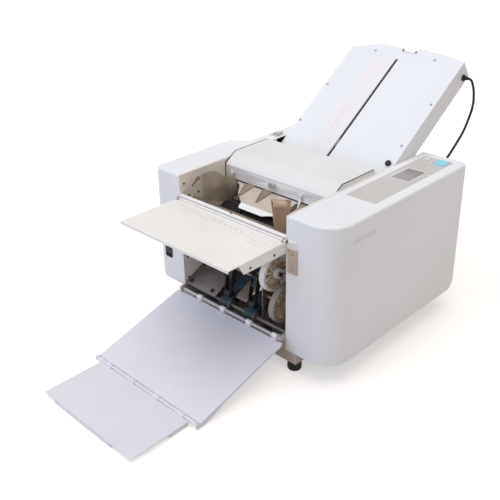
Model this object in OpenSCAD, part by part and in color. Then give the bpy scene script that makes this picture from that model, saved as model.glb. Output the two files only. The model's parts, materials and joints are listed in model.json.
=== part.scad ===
// Table-top paper folding machine: friction feed, four fold rollers, two fold plates,
// delivery belts and a folding tray.
// Millimetres. +Z up, -Y is the front (feed and delivery side), +X is the operator's right.
// Modules work in the body frame: x 0 at the middle of the feed opening, y 0 at the front
// faces of the housings, z 0 at the surface that the machine stands on.

/* [Body] */
// Clear width between the two side frames
opening_w = 326; // [318:1:334]
// Thickness of a steel side frame
frame_t = 3; // [2:0.5:4]
// Length of the housings, front to back
house_len = 498; // [492:1:520]
// Height of the housings' tops
house_top = 377; // [372:1:384]
// Width of the right housing
right_w = 122; // [110:1:140]
// Width of the left housing at the front
left_w = 85; // [75:1:95]
// Width of the left housing at the rear
left_rear_w = 41; // [35:1:50]
// Where the left housing starts to narrow
left_step_y = 250; // [230:1:270]
// How far back the narrowing runs
left_step_run = 33; // [20:1:45]
// Wall of the moulded housings
shell_t = 3; // [2:0.5:4]
// Front corner radius of the right housing
corner_r = 58; // [40:1:70]
// Other corner radius of the housings
small_r = 19; // [10:1:25]
// Height of the right housing's lower edge
right_bottom = 53; // [50:1:60]
// Height of the left housing's lower edge
left_bottom = 74; // [60:1:80]

/* [Base] */
// Height of a rubber foot
foot_h = 25; // [15:1:30]
// Diameter of a rubber foot
foot_d = 32; // [20:1:40]
// Half width of the base pan
pan_half = 192; // [180:1:200]
// Height of the base pan
pan_h = 28; // [20:1:28]
// Sheet thickness of the pan, stays and brackets
sheet_t = 2; // [1.5:0.5:3]

/* [Feed] */
// Height of the feed table's top
table_z = 320; // [316:1:324]
// Depth of the feed table, front to back
table_len = 160; // [140:1:180]
// Half width of the feed table
table_half = 166.5; // [160:0.5:167]
// Plane of each side guide at rest, from the middle
guide_x = 108; // [104:1:115]
// Slope of the feed deck
deck_deg = 20; // [15:1:22]
// Radius of the feed roller's drums
feed_r = 22; // [18:1:23]
// Half width of the ribbed middle part of the feed
feed_half = 97; // [90:1:98]

/* [Cover] */
// Front face of the cover's apron
apron_y = 150; // [148:1:155]
// Height of the cover's flat top
cover_z = 386.5; // [384:0.5:392]
// Rear edge of the cover
cover_rear = 300; // [290:1:302]
// Thickness of the cover
cover_t = 2.5; // [2:0.5:3.5]

/* [Fold rollers] */
// Height of the middle fold roller's axis
nip_z = 297.5; // [296:0.5:299]
// Distance of the fold rollers' axes from the front
nip_y = 300; // [298:1:302]
// Radius of a fold roller's journal
journal_r = 6; // [5:0.5:8]
// Teeth of each roller gear
gear_teeth = 27; // [26:1:28]
// Gear module
gear_m = 1.5; // [1.4:0.05:1.55]
// Gap between two fold rollers' surfaces
roller_gap = 0.5; // [0.3:0.1:1]
// Radial clearance of every running shaft
run = 0.05; // [0.02:0.01:0.08]

/* [Upper fold plate] */
// Slope of the fold plate
plate_deg = 34; // [32:1:35]
// Half width of the fold plate
plate_half = 165.5; // [160:0.5:165.5]
// Depth of the fold plate's box
plate_t = 50; // [46:1:52]
// Length from the slope's zero line to the outer end
plate_end = 338; // [320:1:350]
// Length of the plate below the slope's zero line
plate_tail = 56; // [50:1:58]
// Width of the long slot
slot_w = 5; // [4:0.5:7]

/* [Delivery] */
// Fall of the exit tray from its rod to its outer end
tray_drop = 69.1; // [62:0.1:70]
// Half width of the exit tray
tray_half = 169; // [155:1:172]
// Length of the exit tray along its slope
tray_len = 262; // [240:1:264]
// Sheet thickness of the trays
tray_t = 1.6; // [1.2:0.1:2.5]
// Half width of the extension
ext_half = 147; // [130:1:150]
// Length of the extension
ext_len = 148; // [120:1:160]
// Radius of a delivery belt pulley
pulley_r = 10; // [8:0.5:11]
// Thickness of the delivery belts
belt_t = 1.5; // [1:0.25:2]
// Width of a delivery belt
belt_w = 28; // [20:1:32]
// Radius of a spoked wheel
wheel_r = 44; // [38:1:45]

/* [Show] */
// Node to draw

/* [Hidden] */
$fn = 48;
e = 0.01;
in_x = opening_w / 2;                    // inner faces of the frames
out_x = in_x + frame_t;                  // inner edges of the housings
right_x = out_x + right_w;
left_x = -(out_x + left_w);
left_rear_x = -(out_x + left_rear_w);
pan_z = foot_h;
floor_z = pan_z + sheet_t;
pan_top = pan_z + pan_h;
frame_top = house_top - 1;
frame_rear = house_len - 8;

// control panel
panel_x0 = out_x + 21;
panel_x1 = right_x - 25;
panel_y0 = 163;
panel_y1 = house_len - 25;
panel_t = 0.8;
// middle x, y, size x, y
keys = [[panel_x1 - 21, panel_y1 - 18, 28, 34], [panel_x0 + 16, panel_y1 - 15, 16, 14],
    [panel_x0 + 27, panel_y1 - 55, 12, 8]];
key_fit = 0.3;
key_travel = 1;
board_t = 2;
board_z = house_top - shell_t - 3 - board_t;
screen_x = (panel_x0 + panel_x1) / 2;
screen_y = panel_y1 - 130;
screen_w = 50;
screen_l = 76;

// power switch, on the left housing's front
switch_x = -215;
switch_z = 168;
switch_w = 17;
switch_h = 34;
switch_pivot_y = 6;

// feed table hinge
hinge_y = -4;
hinge_z = table_z + 2;
hinge_pin_r = 2.5;
ear_r = 3.7;
table_y1 = -12;
table_y0 = table_y1 - table_len;
flange_t = 1.5;
lug_x = table_half + 0.5;

// deck, seen from the side
deck_y0 = 8;
deck_z0 = table_z + 1;
deck_y1 = 148;
function deck_z(y) = deck_z0 - (y - deck_y0) * tan(deck_deg);
rail_y = 30;
rail_z = deck_z(rail_y) - 12;
rail_s = 8;
guide_t = 1.6;
guide_flange = 14;
feed_y = 80;
feed_z = deck_z(feed_y) - 9;
feed_shaft_r = 5;

// cover hinge
cover_half = in_x - 0.5;
cover_pin_y = cover_rear + 3;
cover_pin_z = frame_top - 5;
cover_pin_r = 3;
fingers_x = [-63, -16];
finger_t = 3;
knob_x = -5.5;
knob_z = 350;

// fold rollers: gear pitch circles touch, so the rollers stand one pitch diameter apart
gear_d = gear_teeth * gear_m;
roller_r = (gear_d - roller_gap) / 2;
fold_at = [[nip_y, nip_z + gear_d], [nip_y, nip_z], [nip_y + gear_d, nip_z], [nip_y, nip_z - gear_d]];
fold_dir = [90, 0, 0, 270];              // where each roller lies, seen from the middle one
gear_x0 = out_x + 6;
gear_w = 10;
roller_half = in_x - 4;

// motors on the right side frame
motor_r = 30;
motor_gap = gear_x0 + gear_w + 3 - out_x;

// upper fold plate
plate_y = 388;
plate_z = house_top + 6;
skin = 2.5;
slot_x = -12;
slot_s1 = 297;
paper_n = 21;                            // depth of the paper's path below the top sheet
channel_gap = 4;
channel_t = 1;
channel_s1 = 278;
channel_half = 155;
plate_crown = 6;                         // how far the crowned end stands past plate_end
belt_x = -38;
belt_s0 = -30;
belt_s1 = 300;
belt_r = 9;
stop_s = 4;
rod_x = 14;
stay_low_r = 4;
stay_high_r = 6;

// lower fold plate
lplate_y0 = nip_y + 23.5;
lplate_t = 12;
lplate_z0 = 96;
lplate_z1 = 268;
lstop_z = 150;

// delivery
tray_deg = asin(tray_drop / tray_len);
rod_y = -12;
rod_z = 86;
rod_r = 4;
tray_bar_r = 3.5;
ext_y = rod_y - (tray_len - 2) * cos(tray_deg) - 7;
ext_z = 12;
ext_top = 11.5;
function tray_under(y) = rod_z - (rod_y - y) * tan(tray_deg) - (5 + tray_t) / cos(tray_deg);
front_shaft = [20, 80];
rear_shaft = [158, 141];
shaft_r = 5;
belts_x = [-35, 42];
belt_len = norm(rear_shaft - front_shaft);
belt_deg = atan2(rear_shaft[1] - front_shaft[1], rear_shaft[0] - front_shaft[0]);
press_y = 40;
press_z = 170;
press_r = 9;
press_roller_y = 26;
press_roller_z = front_shaft[1] + (press_roller_y - front_shaft[0]) * tan(belt_deg)
    + (pulley_r + belt_t + press_r + run) / cos(belt_deg);
wheel_w = 14;
upper_wheel = [91, 46, 200.6];
lower_wheel = [118, 46, 130.6];
axle_r = 5;
bracket_x = 66;

// lead from the fold plate to the right housing
lead_d = 6;
grommet_s = 302;
grommet_n = -33;
grommet = [plate_y + grommet_s * cos(plate_deg) - grommet_n * sin(plate_deg),
    plate_z + grommet_s * sin(plate_deg) + grommet_n * cos(plate_deg)];
socket_x = out_x + 48;
socket_z = 354;
lead_path = [[plate_half + 1, grommet[0], grommet[1]], [183, grommet[0] - 1, grommet[1]],
    [189, 655, 522], [195, 652, 515], [203, 646, 500], [209, 639, 480], [211, 634, 469], [212, 629, 457],
    [213, 614, 434], [214, 595, 412],
    [214, 573, 393], [214, 550, 376], [214, 529, 362], [socket_x, 513, socket_z + 1], [socket_x, house_len, socket_z]];

// the whole machine's box is centred on the origin
shift_x = (right_x + left_x) / 2;
front_y = ext_y - ext_len - 4;
rear_y = plate_y + (plate_end + plate_crown) * cos(plate_deg) + plate_t * sin(plate_deg);
shift_y = (front_y + rear_y) / 2;
module placed() translate([-shift_x, -shift_y, 0]) children();

// ---- helpers ----

module box(x0, x1, y0, y1, z0, z1) translate([x0, y0, z0]) cube([x1 - x0, y1 - y0, z1 - z0]);

// a bar along X
module bar_x(r, x0, x1, y, z) translate([x0, y, z]) rotate([0, 90, 0]) cylinder(r = r, h = x1 - x0);

// a side view (y, z) drawn out along X
module side(x0, x1) translate([x0, 0, 0]) rotate([90, 0, 90]) linear_extrude(x1 - x0) children();

// a bent sheet that follows points (y, z), t thick downwards
module bent(points, t) polygon(concat(points,
    [for (i = [len(points) - 1:-1:0]) points[i] - [0, t]]));

// what a round corner of radius r takes off, with the corner at the origin and the body
// towards +x +y
module corner_cut(r) difference() {
    translate([-1, -1]) square(r + 1);
    translate([r, r]) circle(r, $fn = 96);
}

module round_rect(x0, x1, y0, y1, r) difference() {
    translate([x0, y0]) square([x1 - x0, y1 - y0]);
    translate([x0, y0]) corner_cut(r);
    translate([x1, y0]) rotate(90) corner_cut(r);
    translate([x1, y1]) rotate(180) corner_cut(r);
    translate([x0, y1]) rotate(270) corner_cut(r);
}

module mirrored() {
    children();
    mirror([1, 0, 0]) children();
}

// a spur gear with straight-sided teeth, one tooth at the angle phase
module gear_2d(teeth, m, phase) {
    pitch_r = teeth * m / 2;
    half = 90 / teeth;
    tooth = [[pitch_r - 1.2 * m, -1.45], [pitch_r, -0.93], [pitch_r + 0.95 * m, -0.42],
        [pitch_r + 0.95 * m, 0.42], [pitch_r, 0.93], [pitch_r - 1.2 * m, 1.45]];
    polygon([for (k = [0:teeth - 1]) for (q = tooth)
        let (a = phase + k * 360 / teeth + q[1] * half) q[0] * [cos(a), sin(a)]]);
}

// a capsule through points, for the lead
module tube_along(points, d) for (i = [1:len(points) - 1]) hull() {
    translate(points[i - 1]) sphere(d = d, $fn = 8);
    translate(points[i]) sphere(d = d, $fn = 8);
}

// the fold plate's own frame: x across, y up the slope, z out of the top sheet
module in_plate() translate([0, plate_y, plate_z]) rotate([plate_deg, 0, 0]) children();

// ---- base and frame ----

module base_pan() color("#6e625b") difference() {
    box(-pan_half, pan_half, 1, frame_rear + 4, pan_z, pan_top);
    box(-pan_half + sheet_t, pan_half - sheet_t, 1 + sheet_t, frame_rear + 4 - sheet_t, floor_z, pan_top + 1);
    for (k = [0:7]) for (y = [140, 260]) box(-126 + k * 34, -112 + k * 34, y, y + 80, pan_z - 1, floor_z + 1);
}

module feet() color("#26231f")
    for (x = [-pan_half + 18, pan_half - 18], y = [19, frame_rear - 18])
        translate([x, y, 0]) difference() {
            union() {
                cylinder(d = foot_d - 4, h = 3);
                translate([0, 0, 3]) cylinder(d = foot_d, h = foot_h - 3);
            }
            translate([0, 0, -1]) cylinder(d = 12, h = 5);
        }

module frame_plate() difference() {
    side(in_x, out_x) polygon([[0.5, pan_top], [1 + sheet_t, pan_top], [1 + sheet_t, floor_z], [frame_rear, floor_z], [frame_rear, frame_top - 6],
        [frame_rear - 20, frame_top - 6], [366, 301], [364, 312], [340, 348], [337, frame_top],
        [0.5, frame_top]]);
    for (p = fold_at) bar_x(journal_r + run, in_x - 1, out_x + 1, p[0], p[1]);
    bar_x(feed_shaft_r + run, in_x - 1, out_x + 1, feed_y, feed_z);
    for (p = [front_shaft, rear_shaft]) bar_x(shaft_r + run, in_x - 1, out_x + 1, p[0], p[1]);
    // openings of the inner wall
    side(in_x - 1, out_x + 1) {
        translate([40, 337]) rotate(34) round_rect(0, 34, -3, 3, 2.9);
        round_rect(22, 34, 314, 320, 2.9);
        translate([45, 307]) circle(3);
    }
}

// a side frame with the cover's hinge pin
module side_frame() {
    frame_plate();
    bar_x(cover_pin_r, cover_half - cover_t - 3, in_x + e, cover_pin_y, cover_pin_z);
}

module frame_left() color("#c9c4be") mirror([1, 0, 0]) side_frame();
module frame_right() color("#c9c4be") side_frame();

module stays() color("#8b7f77") {
    // front sill under the tray rod
    difference() {
        box(-in_x, in_x, 3, 3 + sheet_t, floor_z, 74);
        for (x = [-120:60:120]) side(x - 12, x + 12) translate([0, 40]) square([10, 14]);
    }
    // the two bars that carry the upper fold plate
    in_plate() {
        translate([-in_x, -plate_tail - stay_low_r, -38]) rotate([0, 90, 0]) cylinder(r = stay_low_r, h = opening_w);
        translate([-in_x, 10, -plate_t - stay_high_r]) rotate([0, 90, 0]) cylinder(r = stay_high_r, h = opening_w);
    }
}

module rear_panel() color("#e4e4e6") difference() {
    box(-in_x, in_x, frame_rear - sheet_t, frame_rear, floor_z, 330);
    for (k = [0:5]) for (x = [-108, -30, 48]) box(x, x + 60, frame_rear - sheet_t - 1, frame_rear + 1, 200 + k * 14, 206 + k * 14);
}

// ---- housings ----

module right_plan(t) difference() {
    translate([out_x - (t > 0 ? 1 : 0), t]) square([right_w - t + (t > 0 ? 1 : 0), house_len - 2 * t]);
    translate([right_x - t, t]) rotate(90) corner_cut(corner_r - t);
    translate([right_x - t, house_len - t]) rotate(180) corner_cut(small_r - t);
}

module house_right() color("#eceef2") difference() {
    translate([0, 0, right_bottom]) linear_extrude(house_top - right_bottom) right_plan(0);
    translate([0, 0, right_bottom - 1]) linear_extrude(house_top - right_bottom - shell_t + 1) right_plan(shell_t);
    box(panel_x0, panel_x1, panel_y0, panel_y1, house_top - panel_t, house_top + 1);
    for (k = keys) key_well(k);
    // hole of the lead socket
    translate([socket_x, house_len - shell_t - 1, socket_z]) rotate([-90, 0, 0]) cylinder(r = 6, h = shell_t + 2);
}

module key_well(k) box(k[0] - k[2] / 2 - key_fit, k[0] + k[2] / 2 + key_fit,
    k[1] - k[3] / 2 - key_fit, k[1] + k[3] / 2 + key_fit, house_top - shell_t - 1, house_top + 1);

module left_plan(t) {
    a = atan2(left_step_run, left_w - left_rear_w);
    d = t * (sin(a) - 1) / cos(a);
    s = t > 0 ? 1 : 0;
    difference() {
        polygon([[-out_x + s, t], [left_x + t, t], [left_x + t, left_step_y + d],
            [left_rear_x + t, left_step_y + left_step_run + d], [left_rear_x + t, house_len - t], [-out_x + s, house_len - t]]);
        translate([left_x + t, t]) corner_cut(small_r - t);
    }
}

module house_left() color("#eceef2") difference() {
    translate([0, 0, left_bottom]) linear_extrude(house_top - left_bottom) left_plan(0);
    translate([0, 0, left_bottom - 1]) linear_extrude(house_top - left_bottom - shell_t + 1) left_plan(shell_t);
    box(switch_x - switch_w / 2 - 2, switch_x + switch_w / 2 + 2, -1, shell_t + 1,
        switch_z - switch_h / 2 - 2, switch_z + switch_h / 2 + 2);
    box(-200, -174, house_len - shell_t - 1, house_len + 1, 100, 122);
}

module control_panel() color("#c4c1c1") difference() {
    box(panel_x0, panel_x1, panel_y0, panel_y1, house_top - panel_t, house_top);
    for (k = keys) key_well(k);
}

module display_bezel() color("#f4f4f4") difference() {
    box(screen_x - screen_w / 2, screen_x + screen_w / 2, screen_y - screen_l / 2, screen_y + screen_l / 2,
        house_top, house_top + 1);
    box(screen_x - screen_w / 2 + 2.5, screen_x + screen_w / 2 - 2.5, screen_y - screen_l / 2 + 2.5,
        screen_y + screen_l / 2 - 2.5, house_top - 1, house_top + 2);
}

module display_screen() color("#8b8886")
    box(screen_x - screen_w / 2 + 2.5, screen_x + screen_w / 2 - 2.5, screen_y - screen_l / 2 + 2.5,
        screen_y + screen_l / 2 - 2.5, house_top, house_top + 0.6);

module key(k) {
    box(k[0] - k[2] / 2, k[0] + k[2] / 2, k[1] - k[3] / 2, k[1] + k[3] / 2, board_z + board_t + 2, house_top + 1);
}

module key_start() color("#8fd3e6") key(keys[0]);
module key_stop() color("#dcdde6") key(keys[1]);
module key_mode() color("#e8c9cf") key(keys[2]);

module key_board() color("#4b6b50") difference() {
    union() {
        box(panel_x0 + 5, panel_x1 - 5, panel_y1 - 65, panel_y1 + 1, board_z, board_z + board_t);
        for (x = [panel_x0 + 7, panel_x1 - 7], y = [panel_y1 - 63, panel_y1 - 37])
            translate([x, y, board_z]) cylinder(r = 2, h = house_top - shell_t - board_z);
    }
    translate([screen_x, panel_y1 - 33, board_z - 1]) cylinder(r = 2, h = board_t + 2);
}

module switch_body() color("#202022") difference() {
    union() {
        translate([switch_x, 0, switch_z]) rotate([90, 0, 0]) linear_extrude(1.5)
            round_rect(-switch_w / 2 - 3.5, switch_w / 2 + 3.5, -switch_h / 2 - 3.5, switch_h / 2 + 3.5, 5);
        box(switch_x - switch_w / 2 - 2, switch_x + switch_w / 2 + 2, -e, 24,
            switch_z - switch_h / 2 - 2, switch_z + switch_h / 2 + 2);
    }
    box(switch_x - switch_w / 2, switch_x + switch_w / 2, -3, 20, switch_z - switch_h / 2, switch_z + switch_h / 2);
    bar_x(1.5 + run, switch_x - switch_w / 2 - 1.2, switch_x + switch_w / 2 + 1.2, switch_pivot_y, switch_z);
}

module power_rocker() color("#2c2c2f") {
    side(switch_x - switch_w / 2 + 0.3, switch_x + switch_w / 2 - 0.3)
        polygon([[-5, switch_z + 13.5], [-1.5, switch_z], [-0.5, switch_z - 13.5], [8, switch_z - 11],
            [12, switch_z], [8, switch_z + 11]]);
    bar_x(1.5, switch_x - switch_w / 2 - 1, switch_x + switch_w / 2 + 1, switch_pivot_y, switch_z);
}

module mains_inlet() color("#1d1d1f") difference() {
    union() {
        box(-200, -174, house_len - 18, house_len, 100, 122);
        box(-206, -168, house_len, house_len + 1.5, 96, 126);
    }
    box(-197, -177, house_len - 15, house_len + 2, 103, 119);
}

// ---- feed ----

module feed_table() color("#eceae6") difference() {
    union() {
        box(-table_half, table_half, table_y0, table_y1, table_z - sheet_t, table_z);
        box(-table_half, table_half, table_y0, table_y0 + 1.5, table_z - 6, table_z - sheet_t + e);
        mirrored() side(table_half - flange_t, table_half) {
            polygon([[table_y0 + 29, table_z - 1], [table_y0 + 44, table_z - 25], [-2, table_z - 26],
                [-2, table_z - 3], [hinge_y + ear_r, hinge_z], [hinge_y - ear_r, hinge_z], [table_y1, table_z - 0.5]]);
            translate([hinge_y, hinge_z]) circle(ear_r);
        }
    }
    mirrored() bar_x(hinge_pin_r + run, table_half - flange_t - 1, table_half + 1, hinge_y, hinge_z);
}

module table_brackets() color("#b39f94") mirrored() {
    difference() {
        union() {
            box(lug_x + 1.6, lug_x + 27.5, -3, 0, table_z - 74, table_z + 5);
            side(lug_x, lug_x + 2) {
                translate([hinge_y, hinge_z]) circle(4);
                translate([hinge_y, hinge_z - 5]) square([-hinge_y, 8]);
            }
        }
        for (z = [table_z - 60, table_z - 14]) translate([lug_x + 16, -4, z]) rotate([-90, 0, 0]) cylinder(r = 2, h = 5);
    }
    bar_x(hinge_pin_r, table_half - flange_t - 1.5, lug_x + 1, hinge_y, hinge_z);
}

module front_bar() color("#dcdde2") side(-in_x, in_x) difference() {
    round_rect(-1, 9, table_z + 2, table_z + 10, 3.9);
    translate([4, table_z + 6]) circle(2);
}

module feed_deck() color("#6d655f") difference() {
    side(-in_x, in_x) bent([[1, table_z + 2], [deck_y0, deck_z0], [deck_y1, deck_z(deck_y1)], [deck_y1 + 2, deck_z(deck_y1) - 8]], 1.5);
    // slot of the side guides' feet
    box(-155, 155, rail_y - 6, rail_y + 9, 200, deck_z0);
    // roller opening
    box(-feed_half - 3, feed_half + 3, feed_y - feed_r - 3, feed_y + feed_r + 3, 200, deck_z0);
}

module stack_ramp() color("#d9d2c6") {
    side(-feed_half + 1, 70) difference() {
        bent([[51, table_z + 3], [55, table_z - 1], [62, table_z - 3], [74, table_z - 3], [104, table_z + 2],
            [apron_y - 6, table_z + 11]], 1.5);
    }
    // two arms that carry the ramp on the cross bar
    for (x = [-feed_half + 1, 66]) side(x, x + 2) difference() {
        polygon([[104, table_z + 1], [apron_y - 6, table_z + 10], [190, table_z + 4], [190, table_z - 6], [130, table_z - 4]]);
        translate([182, table_z - 1]) circle(2.5);
    }
    bar_x(2.5, -in_x, in_x, 182, table_z - 1);
}

module guide_rail() color("#b9b7b4") box(-in_x, in_x, rail_y - rail_s / 2, rail_y + rail_s / 2, rail_z - rail_s / 2, rail_z + rail_s / 2);

// outline of the right guide is a narrower blade; the left one is wider
module guide(outline) {
    side(guide_x, guide_x + guide_t) polygon(concat(outline,
        [[rail_y + 5, rail_z + rail_s / 2 + 1.5], [rail_y - 5, rail_z + rail_s / 2 + 1.5]]));
    difference() {
        box(guide_x - 7, guide_x + 7, rail_y - 8, rail_y + 8, rail_z - 8, rail_z + rail_s / 2 + 3);
        box(guide_x - 8, guide_x + 8, rail_y - rail_s / 2 - 0.1, rail_y + rail_s / 2 + 0.1,
            rail_z - rail_s / 2 - 0.1, rail_z + rail_s / 2 + 0.1);
    }
}

module side_guide_left() color("#8a7868") mirror([1, 0, 0]) {
    guide([[rail_y - 5, 316], [15, 387], [129, 349], [145, 279], [39, 316]]);
    // curled top flange
    translate([guide_x + e, 15, 387]) rotate([-18.4, 0, 0]) rotate([-90, 0, 0]) linear_extrude(60) difference() {
        translate([0, guide_flange]) circle(guide_flange);
        translate([0, guide_flange]) circle(guide_flange - guide_t);
        translate([-50, 0]) square([50, 60]);
        translate([-1, guide_flange]) square(40);
    }
}

module side_guide_right() color("#a2917f") {
    guide([[rail_y - 4, 316], [13, 393], [77, 369], [69, 300], [39, 312]]);
    translate([guide_x + e, 13, 393]) rotate([-20.6, 0, 0]) rotate([-90, 0, 0]) linear_extrude(45) difference() {
        translate([0, guide_flange]) circle(guide_flange);
        translate([0, guide_flange]) circle(guide_flange - guide_t);
        translate([-50, 0]) square([50, 60]);
        translate([-1, guide_flange]) square(40);
    }
}

module cover_side(t) polygon([[apron_y + t, 331 - (t > 0 ? 1 : 0)], [apron_y + t, 366 - t / 2],
    [apron_y + 34 + t / 2, cover_z - t], [cover_rear + (t > 0 ? 20 : 0), cover_z - t],
    [cover_rear + (t > 0 ? 20 : 0), 331 - (t > 0 ? 1 : 0)]]);

module top_cover() color("#efeeea") difference() {
    union() {
        difference() {
            side(-cover_half, cover_half) cover_side(0);
            side(-cover_half + cover_t, cover_half - cover_t) cover_side(cover_t);
            // skirts are shallow behind the apron
            box(-cover_half - 1, cover_half + 1, apron_y + 14, cover_rear + 1, 300, 362);
        }
        mirrored() side(cover_half - cover_t, cover_half) {
            translate([cover_pin_y, cover_pin_z]) circle(8);
            polygon([[cover_pin_y - 20, 362], [cover_pin_y - 20, cover_z - 4], [cover_pin_y - 3, cover_z - 4],
                [cover_pin_y + 5, cover_pin_z + 6], [cover_pin_y, cover_pin_z - 8]]);
        }
    }
    mirrored() bar_x(cover_pin_r + run, cover_half - cover_t - 1, cover_half + 1, cover_pin_y, cover_pin_z);
    translate([knob_x, apron_y - 1, knob_z]) rotate([-90, 0, 0]) cylinder(r = 3 + run, h = cover_t + 2);
    // notches over the fingers
    for (x = fingers_x) box(x - 1, x + finger_t + 1, apron_y - 1, apron_y + cover_t + 1, 330, 341);
}

// two pointed fingers on a plate behind the apron
module separator_fingers() color("#b8aa94") {
    for (x = fingers_x) side(x, x + finger_t) polygon([[apron_y + cover_t + 1.5, 340], [apron_y + cover_t + 1.5, 333.5],
        [apron_y - 2, 333.5], [102, 323.2], [101, 324.5], [apron_y - 16, 337], [apron_y - 2, 340]]);
    box(fingers_x[0] - 7, fingers_x[1] + 6, apron_y + cover_t, apron_y + cover_t + 2, 332, 360);
}

module pressure_knob() color("#b0b0b2") {
    translate([knob_x, apron_y, knob_z]) rotate([90, 0, 0]) {
        cylinder(r = 4, h = 4);
        translate([0, 0, 4]) difference() {
            cylinder(r = 7, h = 8);
            for (a = [0:30:330]) rotate(a) translate([7.6, 0, -1]) cylinder(r = 1, h = 10, $fn = 16);
        }
    }
    translate([knob_x, apron_y + 14, knob_z]) rotate([90, 0, 0]) cylinder(r = 3, h = 16);
}

module apron_posts() color("#dfdad2") for (x = [-137, 77]) {
    translate([x, apron_y, 347]) rotate([90, 0, 0]) cylinder(r = 6, h = 6);
    box(x - 3.5, x + 3.5, apron_y - 7, apron_y - 3, table_z + 2, 345);
}

module feed_roller() color("#2b2927") {
    bar_x(feed_shaft_r, -in_x - 5, in_x + 20, feed_y, feed_z);
    // ribbed rubber drums
    for (d = [[-94, -34], [2, 94]]) {
        bar_x(feed_r - 2, d[0], d[1], feed_y, feed_z);
        for (x = [d[0]:6:d[1] - 3]) bar_x(feed_r, x, x + 3.4, feed_y, feed_z);
    }
    bar_x(feed_r - 6, -30, -2, feed_y, feed_z);
}

// ---- fold rollers and their drive ----

module fold_roller(i) {
    p = fold_at[i];
    // teeth interleave with the middle gear's, whose first tooth points to the rear
    phase = i == 1 ? 0 : 2 * fold_dir[i] + 180 + 180 / gear_teeth;
    bar_x(roller_r, -roller_half, roller_half, p[0], p[1]);
    bar_x(journal_r, -out_x - 4, gear_x0 + gear_w + (i == 3 ? 24 : 2), p[0], p[1]);
    bar_x(journal_r + 4, roller_half - e, in_x - 0.5, p[0], p[1]);
    bar_x(journal_r + 4, -in_x + 0.5, -roller_half + e, p[0], p[1]);
    translate([gear_x0, p[0], p[1]]) rotate([90, 0, 90]) linear_extrude(gear_w) gear_2d(gear_teeth, gear_m, phase);
}

module fold_roller_1() color("#3a3a3c") fold_roller(0);
module fold_roller_2() color("#8f9092") fold_roller(1);
module fold_roller_3() color("#3a3a3c") fold_roller(2);
module fold_roller_4() color("#3a3a3c") fold_roller(3);

module motors() color("#45464a") {
    // main motor, outside the roller gears, on three posts
    difference() {
        union() {
            bar_x(motor_r, out_x + motor_gap, out_x + motor_gap + 60, fold_at[3][0], fold_at[3][1]);
            for (a = [0, 180, 270]) bar_x(4, out_x, out_x + motor_gap + 1,
                fold_at[3][0] + (gear_d / 2 + 8.5) * cos(a), fold_at[3][1] + (gear_d / 2 + 8.5) * sin(a));
        }
        bar_x(journal_r + run, out_x, out_x + motor_gap + 30, fold_at[3][0], fold_at[3][1]);
    }
    // feed motor and delivery motor, flat on the frame
    difference() {
        union() {
            bar_x(25, out_x, out_x + 45, feed_y, feed_z);
            bar_x(22, out_x, out_x + 40, rear_shaft[0], rear_shaft[1]);
        }
        bar_x(feed_shaft_r + run, out_x - 1, out_x + 30, feed_y, feed_z);
        bar_x(shaft_r + run, out_x - 1, out_x + 30, rear_shaft[0], rear_shaft[1]);
    }
}

module lower_plate() color("#9a9a9c") {
    difference() {
        box(-in_x, in_x, lplate_y0, lplate_y0 + lplate_t, lplate_z0, lplate_z1);
        box(-channel_half, channel_half, lplate_y0 + 4, lplate_y0 + 8, lplate_z0 - 1, lplate_z1 + 1);
        // slots that let the stop's arms through to the rear
        for (x = [-60, 60]) box(x - 4, x + 4, lplate_y0 + 7, lplate_y0 + lplate_t + 1, lplate_z0 - 1, lplate_z1 - 30);
    }
}

module lower_stop() color("#c7c4bd") {
    box(-channel_half + 10, channel_half - 10, lplate_y0 + 4.5, lplate_y0 + 7.5, lstop_z - 8, lstop_z);
    for (x = [-60, 60]) box(x - 3.5, x + 3.5, lplate_y0 + 7, lplate_y0 + lplate_t + 4, lstop_z - 8, lstop_z);
    box(-64, 64, lplate_y0 + lplate_t + 0.2, lplate_y0 + lplate_t + 4, lstop_z - 8, lstop_z);
}

// ---- upper fold plate ----

module plate_outline(t) polygon([[-plate_half + t, -plate_tail - (t > 0 ? 1 : 0)], [plate_half - t, -plate_tail - (t > 0 ? 1 : 0)],
    [plate_half - t, plate_end - 14 - t], [113, plate_end - 3 - t], [29, plate_end + plate_crown - t], [22, plate_end - 9 - t],
    [-8, plate_end - 9 - t], [-13, plate_end - t], [-86, plate_end + 3 - t], [-plate_half + t, plate_end - 22 - t]]);

module plate_shell() color("#eceef2") in_plate() difference() {
    translate([0, 0, -plate_t]) linear_extrude(plate_t) plate_outline(0);
    translate([0, 0, -plate_t - 1]) linear_extrude(plate_t + 1 - skin) plate_outline(skin);
    // long slot of the length pointer
    translate([0, 0, -skin - 1]) linear_extrude(skin + 2)
        round_rect(slot_x - slot_w / 2, slot_x + slot_w / 2, -plate_tail + 8, slot_s1, slot_w / 2 - 0.05);
    // hole of the grommet, screw hole of the locking knob
    translate([plate_half - skin - 1, grommet_s, grommet_n]) rotate([0, 90, 0]) cylinder(r = 6, h = skin + 2);
    translate([150, -14, -skin - 1]) cylinder(r = 3 + run, h = skin + 2);
}

module plate_base() color("#8b7f77") in_plate() difference() {
    translate([0, 0, -plate_t]) linear_extrude(1.5) plate_outline(skin + 0.2);
    for (x = [-110, 110]) translate([x, 140, -plate_t - 1]) linear_extrude(4) round_rect(-25, 25, -60, 60, 10);
    translate([-plate_half, -plate_tail - 2, -plate_t - 1]) cube([2 * plate_half, 3, 4]);
}

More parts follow.
